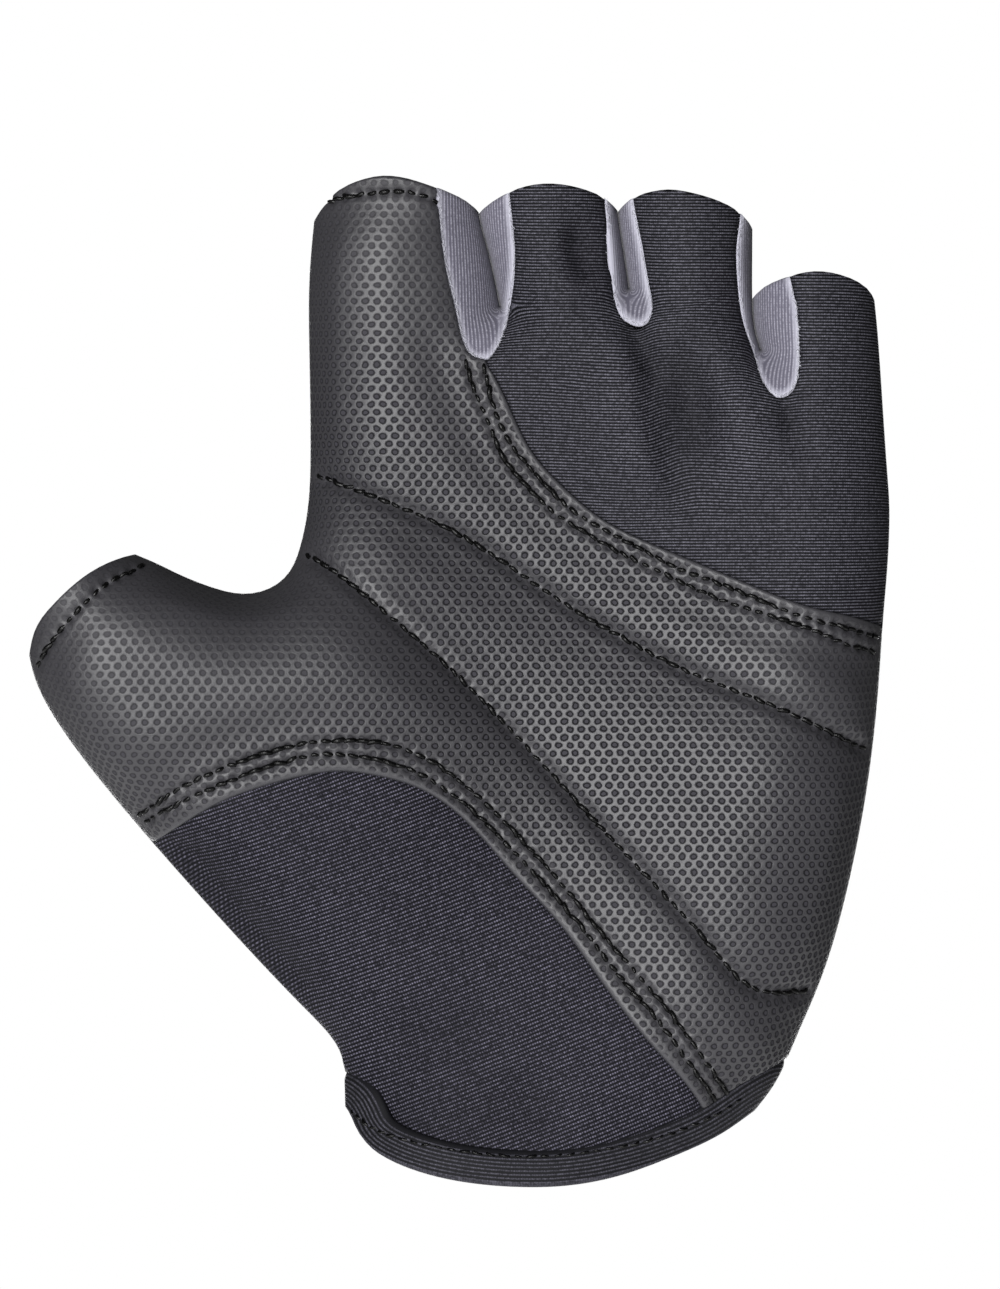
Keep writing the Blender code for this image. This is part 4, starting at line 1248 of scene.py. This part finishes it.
@dataclass
class PaddedPalm(Panel):
    """The leather palm: padding puffs it up between its quilting, seams and hems."""

    puff: float = 0.0016
    puff_reach: float = 0.0060
    dimple_depth: float = 0.00006
    level_start: float = 0.45
    level_span: float = 0.3
    side_clear: float = 0.006
    net_margin: int = 8
    net_rounds: int = 3
    net_pull: float = 0.8
    emboss_reach: float = 0.075
    row_share: float = 0.5
    row_reach: float = 0.0011
    border_plain: float = 0.0001
    border_fade: float = 0.0008
    leather: EmbossedLeather = LEATHER
    seam_rows: tuple[Table, ...] = ()

    def net_points(self, low: np.ndarray, high: np.ndarray, step: float) -> np.ndarray:
        """The dimples' own lattice over a box, so that a point lies in every dimple.

        On the rounded sides the leather runs further than the drawing, so the lattice is drawn back.
        """
        if step != self.net:
            return super().net_points(low, high, step)
        a, row = self.leather.across, self.leather.row
        first = np.floor(low / (a, 2 * row)).astype(int) - self.net_margin
        last = np.ceil(high / (a, 2 * row)).astype(int) + self.net_margin
        rows, columns = np.mgrid[2 * first[1] : 2 * last[1] + 1, first[0] : last[0] + 1]
        lattice = np.column_stack([((columns + 0.5 * (rows % 2)) * a).ravel(), (rows * row).ravel()])
        flat = lattice.copy()
        for _ in range(self.net_rounds):
            made = self.form.raise_points(flat, self.face, self.rise, self.shift)
            flat = flat + self.net_pull * (lattice - made.unfolded)
        return flat

    def relief(self, flat: np.ndarray, made: Raised) -> np.ndarray:
        """Adds the padding's puff and the dimples to the sewn grooves."""
        height = super().relief(flat, made)
        lines = [through(rows) for rows in (*QUILTING, *self.seam_rows, *BORDERS.values())]
        lines += [self.form.drawing.curves[name] for name in ("strip_index_middle", "hem_wrist")]
        free = np.prod([1 - bell(nearest(flat, line).distance, self.puff_reach) for line in lines], axis=0)
        height += self.puff * free * smoothed(made.side_distance / self.side_clear)
        level = smoothed((np.abs(made.normals[:, 1]) - self.level_start) / self.level_span)
        height -= self.dimple_depth * self.emboss(flat) * level * self.pressed(made.unfolded)
        return height

    def pressed(self, unfolded: np.ndarray) -> np.ndarray:
        """How far each point of the leather lies into a dimple, from 0 to 1."""
        look = self.leather
        cell = np.array([look.across, 2 * look.row])
        scaled = unfolded / cell
        reach = np.inf
        for start in (0.0, 0.5):
            centred = (scaled + start) % 1.0 - 0.5
            reach = np.minimum(reach, np.hypot(*(centred * cell * (1, look.oval)).T))
        return 1 - smoothed((reach - look.floor_radius) / (look.rim_radius - look.floor_radius))

    def emboss(self, flat: np.ndarray) -> np.ndarray:
        """How strongly the dimples show at each flat point."""
        strength = blended(flat, EMBOSS, self.emboss_reach * SIZES.length)[0]
        for rows in (*QUILTING, *self.seam_rows):
            near = nearest(flat, through(rows))
            strength = strength * (1 - self.row_share * bell(near.distance, self.row_reach))
        for rows in BORDERS.values():
            near = nearest(flat, through(rows))
            strength = strength * smoothed((near.distance - self.border_plain) / self.border_fade)
        return strength

    def attributes(self, flat: np.ndarray, unfolded: np.ndarray) -> dict[str, np.ndarray]:
        """Adds the dimples' strength to what the material reads."""
        made = super().attributes(flat, unfolded)
        made["emboss"] = self.emboss(flat)
        return made


@dataclass
class Threading:
    """Geometry Nodes that lay short threads along a line: stitches, or the fibres of a frayed edge."""

    name: str
    material: Material
    pitch: float
    length: float
    thickness: float
    arch: float
    sink: float
    turn: float
    spread: float
    sides: int = 6
    bends: int = 5
    seed: int = 7

    def tree(self, sizes: dict[str, float]) -> bpy.types.NodeTree:
        """Builds the node tree, with a named input for each size."""
        tree = bpy.data.node_groups.new(self.name, "GeometryNodeTree")
        tree.interface.new_socket("Route", in_out="INPUT", socket_type="NodeSocketGeometry")
        for name in sizes:
            tree.interface.new_socket(name, in_out="INPUT", socket_type="NodeSocketFloat")
        tree.interface.new_socket("Threads", in_out="OUTPUT", socket_type="NodeSocketGeometry")
        nodes = Wiring(tree)
        given = nodes.add("NodeGroupInput").outputs
        thread = self.thread(nodes, given)
        line = nodes.result("GeometryNodeMeshToCurve", {"Mesh": given["Route"]})
        steps = {"Curve": line, "Length": given["Pitch"]}
        marks = nodes.result("GeometryNodeResampleCurve", steps, mode="LENGTH")
        laid = {"Points": marks, "Instance": thread, "Rotation": self.rotation(nodes, given)}
        spread = [nodes.maths(operation, 1.0, given["Spread"]) for operation in ("SUBTRACT", "ADD")]
        size = nodes.add("FunctionNodeRandomValue", {2: spread[0], 3: spread[1], "Seed": self.seed + 1})
        laid["Scale"] = size.outputs[1]
        placed = nodes.result("GeometryNodeInstanceOnPoints", laid)
        real = nodes.result("GeometryNodeRealizeInstances", {0: placed})
        smooth = nodes.result("GeometryNodeSetShadeSmooth", {0: real})
        dressed = nodes.result("GeometryNodeSetMaterial", {"Geometry": smooth, "Material": self.material})
        nodes.add("NodeGroupOutput", {0: dressed})
        return tree

    def thread(self, nodes: Wiring, given: Any) -> Socket:
        """One thread, arched along X with its ends sunk."""
        low = nodes.maths("MULTIPLY", given["Sink"], -1.0)
        back = nodes.maths("MULTIPLY", given["Length"], -0.5)
        half = nodes.maths("MULTIPLY", given["Length"], 0.5)
        places = {"Start": {0: back, 2: low}, "Middle": {2: given["Arch"]}, "End": {0: half, 2: low}}
        arc = {name: nodes.result("ShaderNodeCombineXYZ", place) for name, place in places.items()}
        radius = nodes.maths("MULTIPLY", given["Thickness"], 0.5)
        ring = nodes.result("GeometryNodeCurvePrimitiveCircle", {"Resolution": self.sides, "Radius": radius})
        curve = nodes.result("GeometryNodeCurveQuadraticBezier", arc | {"Resolution": self.bends})
        swept = {"Curve": curve, "Profile Curve": ring, "Fill Caps": True}
        return nodes.result("GeometryNodeCurveToMesh", swept)

    def rotation(self, nodes: Wiring, given: Any) -> Socket:
        """Turns a thread along the line and away from the surface, and then a little by chance."""
        lift = nodes.result("GeometryNodeInputNamedAttribute", {"Name": "lift"}, data_type="FLOAT_VECTOR")
        axes = {"Primary Axis": lift, "Secondary Axis": nodes.result("GeometryNodeInputTangent")}
        facing = nodes.result("FunctionNodeAxesToRotation", axes, primary_axis="Z", secondary_axis="X")
        backward = nodes.maths("MULTIPLY", given["Turn"], -1.0)
        least = nodes.result("ShaderNodeCombineXYZ", dict.fromkeys(range(3), backward))
        most = nodes.result("ShaderNodeCombineXYZ", dict.fromkeys(range(3), given["Turn"]))
        chance = {0: least, 1: most, "Seed": self.seed}
        angles = nodes.result("FunctionNodeRandomValue", chance, data_type="FLOAT_VECTOR")
        turned = {"Rotation": facing, "Rotate By": nodes.result("FunctionNodeEulerToRotation", {0: angles})}
        return nodes.result("FunctionNodeRotateRotation", turned, rotation_space="LOCAL")

    def laid(self, name: str, lines: list[Line]) -> Thing:
        """Lays threads along lines of points with the surface's normals there, as a plain mesh."""
        points = np.vstack([line for line, _ in lines])
        edges = []
        start = 0
        for line, _ in lines:
            edges += [(i, i + 1) for i in range(start, start + len(line) - 1)]
            start += len(line)
        mesh = bpy.data.meshes.new(name)
        mesh.from_pydata(points.tolist(), edges, [])
        lift = np.vstack([normals for _, normals in lines]).astype(np.float32)
        mesh.attributes.new("lift", "FLOAT_VECTOR", "POINT").data.foreach_set("vector", lift.ravel())
        made = linked(name, mesh)
        modifier = made.modifiers.new("threads", "NODES")
        names = ("pitch", "length", "thickness", "arch", "sink", "turn", "spread")
        sizes = {size.title(): getattr(self, size) for size in names}
        modifier.node_group = self.tree(sizes)
        for item in modifier.node_group.interface.items_tree:
            if item.item_type == "SOCKET" and item.name in sizes:
                modifier[item.identifier] = sizes[item.name]
        plain = bpy.data.meshes.new_from_object(made.evaluated_get(bpy.context.evaluated_depsgraph_get()))
        made.modifiers.clear()
        made.data = plain
        plain.name = name
        return made


def linked(name: str, data: Any) -> Thing:
    """Adds an object with its data to the scene."""
    made = bpy.data.objects.new(name, data)
    bpy.context.scene.collection.objects.link(made)
    return made


def fixed(made: Thing, node: str | None = None) -> Thing:
    """Fixes a finished piece to the glove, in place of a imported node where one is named."""
    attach(made, "root")
    if node is not None:
        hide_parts(node)
    LOG.info("%s: %d faces", made.name, len(made.data.polygons))
    return made


# Columns: the points across and up that a fold runs through, its depth, its width, how far the ribs slip
# down across it, and the length over which each end fades
FINGER_FOLDS: Places = (
    (
        (
            (0.115, 0.878), (0.127, 0.848), (0.151, 0.820), (0.167, 0.775), (0.184, 0.738), (0.215, 0.692),
            (0.248, 0.647),
        ),
        0.0012, 0.0030, 0.0016, 0.012,
    ),
    (((0.389, 0.783), (0.404, 0.759), (0.423, 0.737), (0.442, 0.709)), 0.0010, 0.0026, 0.0010, 0.005),
    (((0.065, 0.965), (0.048, 0.941), (0.057, 0.916), (0.077, 0.893)), 0.0022, 0.0032, 0.0006, 0.004),
    (
        ((0.205, 0.868), (0.222, 0.828), (0.234, 0.789), (0.250, 0.740), (0.278, 0.690)),
        0.0032, 0.0046, 0.0, 0.014,
    ),
    (
        ((0.095, 0.868), (0.112, 0.828), (0.128, 0.785), (0.150, 0.730), (0.190, 0.670)),
        -0.0014, 0.0040, 0.0, 0.012,
    ),
    (((0.118, 0.880), (0.140, 0.850), (0.165, 0.818), (0.182, 0.785)), 0.0015, 0.0020, 0.0, 0.006),
    (((0.386, 0.800), (0.401, 0.772), (0.418, 0.742)), 0.0013, 0.0020, 0.0, 0.004),
    (((0.300, 0.868), (0.305, 0.800), (0.325, 0.740), (0.360, 0.680)), -0.0014, 0.0044, 0.0, 0.012),
)
# A fold across the mound, then two broad dips along its thumb side and its wrist end, pressed in and painted
# with shade
MOUND_FOLDS_AND_SHADE_DIPS: Places = (
    (
        ((-0.361, 0.135), (-0.301, 0.140), (-0.232, 0.145), (-0.127, 0.154), (-0.060, 0.162)),
        0.0016, 0.0060, 0.0, 0.010,
    ),
    (((-0.70, 0.36), (-0.60, 0.27), (-0.50, 0.19), (-0.43, 0.14)), 0.0022, 0.0080, 0.0, 0.010),
    (((-0.38, 0.085), (-0.25, 0.065), (-0.08, 0.075), (0.05, 0.10)), 0.0014, 0.0060, 0.0, 0.010),
)


@dataclass
class Glove:
    """Every sewn piece of the glove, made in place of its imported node.

    The channel, row and binding row are each a groove's depth and width.
    """

    form: HandForm
    lining: Material
    channel: tuple[float, float] = (0.0012, 0.0013)
    row: tuple[float, float] = (0.00080, 0.0007)
    binding_row: tuple[float, float] = (0.0002, 0.0005)
    row_pitch: float = 0.0022
    fill: float = 0.7

    def dressed(self, node: str, panels: list[Panel], looks: Material, slot: str) -> Thing:
        """Makes a piece from its panels."""
        name = node + "_dressed"
        return fixed(linked(name, Shell(name, panels).mesh(looks, self.lining)), node)

    def panel(self, names: str, **sizes: Any) -> Panel:
        """A panel bounded by the named curves."""
        return Panel(self.form, names.split(), **sizes)

    def palm(self) -> Panel:
        """Makes the leather palm and returns its panel, which the threads lie on."""
        rows = (*BORDER_ROWS.values(), *HEM_ROWS.values())
        grooves = [Groove(route, *self.channel, pucker=0.2) for route in QUILTING]
        grooves += [Groove(route, *self.row, pucker=0.7, pitch=self.row_pitch) for route in rows]
        names = (
            "thumb_outer hem_thumb thumb_to_index hem_index strip_index_middle upper_border ulnar "
            "binding_top lower_border"
        )
        panel = PaddedPalm(
            self.form,
            names.split(),
            rise=0.0008,
            wall=0.0020,
            levels=2,
            grooves=tuple(grooves),
            edge_fall=0.00015,
            edge_fall_width=0.0004,
            seam_rows=rows,
        )
        made = self.dressed("palm_leather", [panel], LEATHER.material(), "palm_leather")
        return panel

    def knit_fronts(self) -> Panel:
        """Makes the ribbed knit over the fingers and below the leather, and returns the first."""
        fingers = self.panel(
            "strip_index_middle hem_middle strip_middle_ring hem_ring strip_ring_little hem_little ulnar "
            "upper_border",
            folds=tuple(Groove(*row) for row in FINGER_FOLDS),
            edge_fall=0.0003,
            edge_fall_width=0.0010,
        )
        self.dressed("finger_knit", [fingers], FRONT_KNIT.material(), "knit")
        mound = self.panel(
            "thumb_outer lower_border binding_top",
            folds=tuple(Groove(*row) for row in MOUND_FOLDS_AND_SHADE_DIPS),
            follows=Follows.TILTED,
            edge_fall=0.0002,
        )
        self.dressed("thenar_knit", [mound], THENAR_KNIT.material(), "knit")
        return fingers

    def strips(self) -> list[Panel]:
        """Makes the three grey stretch strips between the fingers and returns their front panels."""
        looks = STRIP_FABRIC.material()
        sizes = {"rise": -0.0002, "wall": 0.0010, "net": 0.0013, "shift": 0.0, "follows": Follows.ALONG}
        fronts = []
        for first, second in (("index", "middle"), ("middle", "ring"), ("ring", "little")):
            name = f"{first}_{second}"
            front = f"strip_{name} hem_{first} slit_{name} hem_{second}"
            panels = [
                self.panel(names, face=face, **sizes)
                for face, names in ((Face.FRONT, front), (Face.BACK, front.replace("hem_", "back_hem_")))
            ]
            self.dressed("fourchette_" + name, panels, looks, "fourchette")
            fronts.append(panels[0])
        return fronts

    def wrist(self) -> Panel:
        """Makes the ribbed tape sewn round the wrist opening and returns its front panel."""
        sizes = {"rise": 0.0006, "wall": 0.0018, "net": 0.0013, "shift": 0.0, "follows": Follows.EDGE}
        sizes |= {"edge_fall": 0.0004, "edge_fall_width": 0.0006, "rim_round": 0.0006}
        groove = Groove(BINDING_ROW, *self.binding_row, pucker=0.5)
        panels = [
            self.panel("thumb_outer binding_top ulnar hem_wrist", grooves=(groove,), **sizes),
            self.panel("thumb_outer back_binding_top ulnar back_hem_wrist", face=Face.BACK, **sizes),
        ]
        self.dressed("wrist_binding", panels, TAPE.material(), "binding")
        return panels[0]

    def back(self) -> None:
        """Makes the plain knit back of the hand, fingers and thumb."""
        panel = self.panel(
            "thumb_outer back_hem_thumb thumb_to_index back_hem_index strip_index_middle back_hem_middle "
            "strip_middle_ring back_hem_ring strip_ring_little back_hem_little ulnar back_binding_top",
            face=Face.BACK,
            net=0.0022,
            edge_fall=0.0002,
        )
        self.dressed("back_panel", [panel], BACK_KNIT.material(), "back")


@dataclass
class Seams:
    """The threads of every visible row of stitches, and the strips' frayed edges."""

    palm: Panel
    fingers: Panel
    binding: Panel
    strips: list[Panel]
    step: float = 0.0004
    least_facing: float = 0.36
    fibre_lift: float = 0.0001

    def line(self, rows: Table, panel: Panel) -> Line:
        """Lifts a row of stitches onto the panel that it is sewn through, where it faces the front."""
        flat = through(rows, self.step)
        flat = flat[inside(flat, np.vstack(panel.sides))]
        points, normals, _ = panel.outside(flat)
        facing = np.abs(normals[:, 1]) > self.least_facing
        return points[facing], normals[facing]

    def build(self) -> None:
        """Lays the stitches, and loose fibres along the strips' cut edges."""
        shared = {"material": THREAD.material(), "sink": 0.00016, "turn": 0.30, "spread": 0.20}
        stitch = Threading(
            "stitches along a seam", pitch=0.0022, length=0.0017, thickness=0.00068, arch=0.00084, **shared
        )
        finer = Threading(
            "finer stitches", pitch=0.0021, length=0.0014, thickness=0.00045, arch=0.00062, **shared
        )
        for name, sewn, tables, panel, slot in (
            ("quilting_stitches", stitch, QUILTING, self.palm, "palm_leather"),
            ("border_stitches", stitch, BORDER_ROWS.values(), self.palm, "palm_leather"),
            ("hem_stitches", stitch, HEM_ROWS.values(), self.palm, "palm_leather"),
            ("binding_stitches", finer, [BINDING_ROW], self.binding, "binding"),
        ):
            fixed(sewn.laid(name, [self.line(rows, panel) for rows in tables]))
        fibre = Threading(
            "frayed fibres",
            FIBRE.material(),
            pitch=0.00022,
            length=0.0010,
            thickness=0.00007,
            arch=0.0003,
            sink=0.0001,
            turn=0.9,
            spread=0.5,
            sides=3,
            bends=3,
            seed=21,
        )
        lines = []
        for strip in self.strips:
            for name, side in zip(strip.side_names, strip.sides):
                if name.startswith("strip_"):
                    points, normals, _ = self.fingers.outside(side)
                    lines.append((points + self.fibre_lift * normals, normals))
        fixed(fibre.laid("frayed_strip_edges", lines))


@dataclass
class Studio:
    """A pale floor, soft lights, a white surround and a camera square to the palm."""

    centre: tuple[float, float, float] = (-0.0088, 0.0, 0.0807)
    frame_height: float = 0.20710
    distance: float = 4.0
    clip_end: float = 50
    floor_level: float = -0.25
    floor_size: float = 0.6
    floor_glow: float = 0.8
    sky_light: float = 0.09

    def build(self) -> None:
        """Makes all of it."""
        self.floor()
        self.light("key", (-0.32, -1.00, 0.12), spread=34, power=5.0)
        self.light("behind", (0.00, 1.00, -0.05), spread=30, power=1.8)
        self.sky()
        self.camera()

    def floor(self) -> None:
        """A large pale floor below the glove, which is held up."""
        half = self.floor_size
        corners = [(x * half, y * half, self.floor_level) for x, y in ((-1, -1), (1, -1), (1, 1), (-1, 1))]
        mesh = bpy.data.meshes.new("pale_floor")
        mesh.from_pydata(corners, [], [(0, 1, 2, 3)])
        looks, _, shader = Finish("matt_white_paint", "#ffffff", roughness=0.9).start()
        shader.inputs["Emission Color"].default_value = (1, 1, 1, 1)
        shader.inputs["Emission Strength"].default_value = self.floor_glow
        mesh.materials.append(looks)
        linked("pale_floor", mesh)

    def light(self, name: str, place: tuple[float, float, float], spread: float, power: float) -> None:
        """Adds an even light from a place, softened over an angle in degrees."""
        data = bpy.data.lights.new(name, "SUN")
        data.angle = math.radians(spread)
        data.energy = power
        made = linked(name, data)
        made.location = place
        made.rotation_euler = (Vector(self.centre) - Vector(place)).to_track_quat("-Z", "Y").to_euler()

    def sky(self) -> None:
        """A white surround that the camera sees, much dimmer as light on the glove."""
        world = bpy.data.worlds.new("studio")
        bpy.context.scene.world = world
        world.use_nodes = True
        world.node_tree.nodes.clear()
        nodes = Wiring(world.node_tree)
        seen = nodes.add("ShaderNodeLightPath").outputs["Is Camera Ray"]
        strength = nodes.mapped(seen, (0.0, 1.0), (self.sky_light, 1.0))
        glow = nodes.result("ShaderNodeBackground", {"Color": (1, 1, 1, 1), "Strength": strength})
        nodes.add("ShaderNodeOutputWorld", {"Surface": glow})

    def camera(self) -> None:
        """A long lens at the height of the glove's middle, square to the palm."""
        data = bpy.data.cameras.new("camera")
        data.lens = data.sensor_width * self.distance / self.frame_height
        data.clip_end = self.clip_end
        made = linked("camera", data)
        made.location = (self.centre[0], -self.distance, self.centre[2])
        made.rotation_euler = (math.pi / 2, 0, 0)
        bpy.context.scene.camera = made


def main() -> None:
    """Loads the frame, dresses every node and lights the glove."""
    logging.basicConfig(level=logging.INFO, format="%(message)s")
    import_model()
    bpy.context.scene.view_settings.view_transform = "Standard"
    glove = Glove(HandForm(Drawing()), LINING.material())
    palm = glove.palm()
    fingers = glove.knit_fronts()
    strips = glove.strips()
    binding = glove.wrist()
    glove.back()
    Seams(palm, fingers, binding, strips).build()
    Studio().build()


if __name__ == "__main__":
    main()
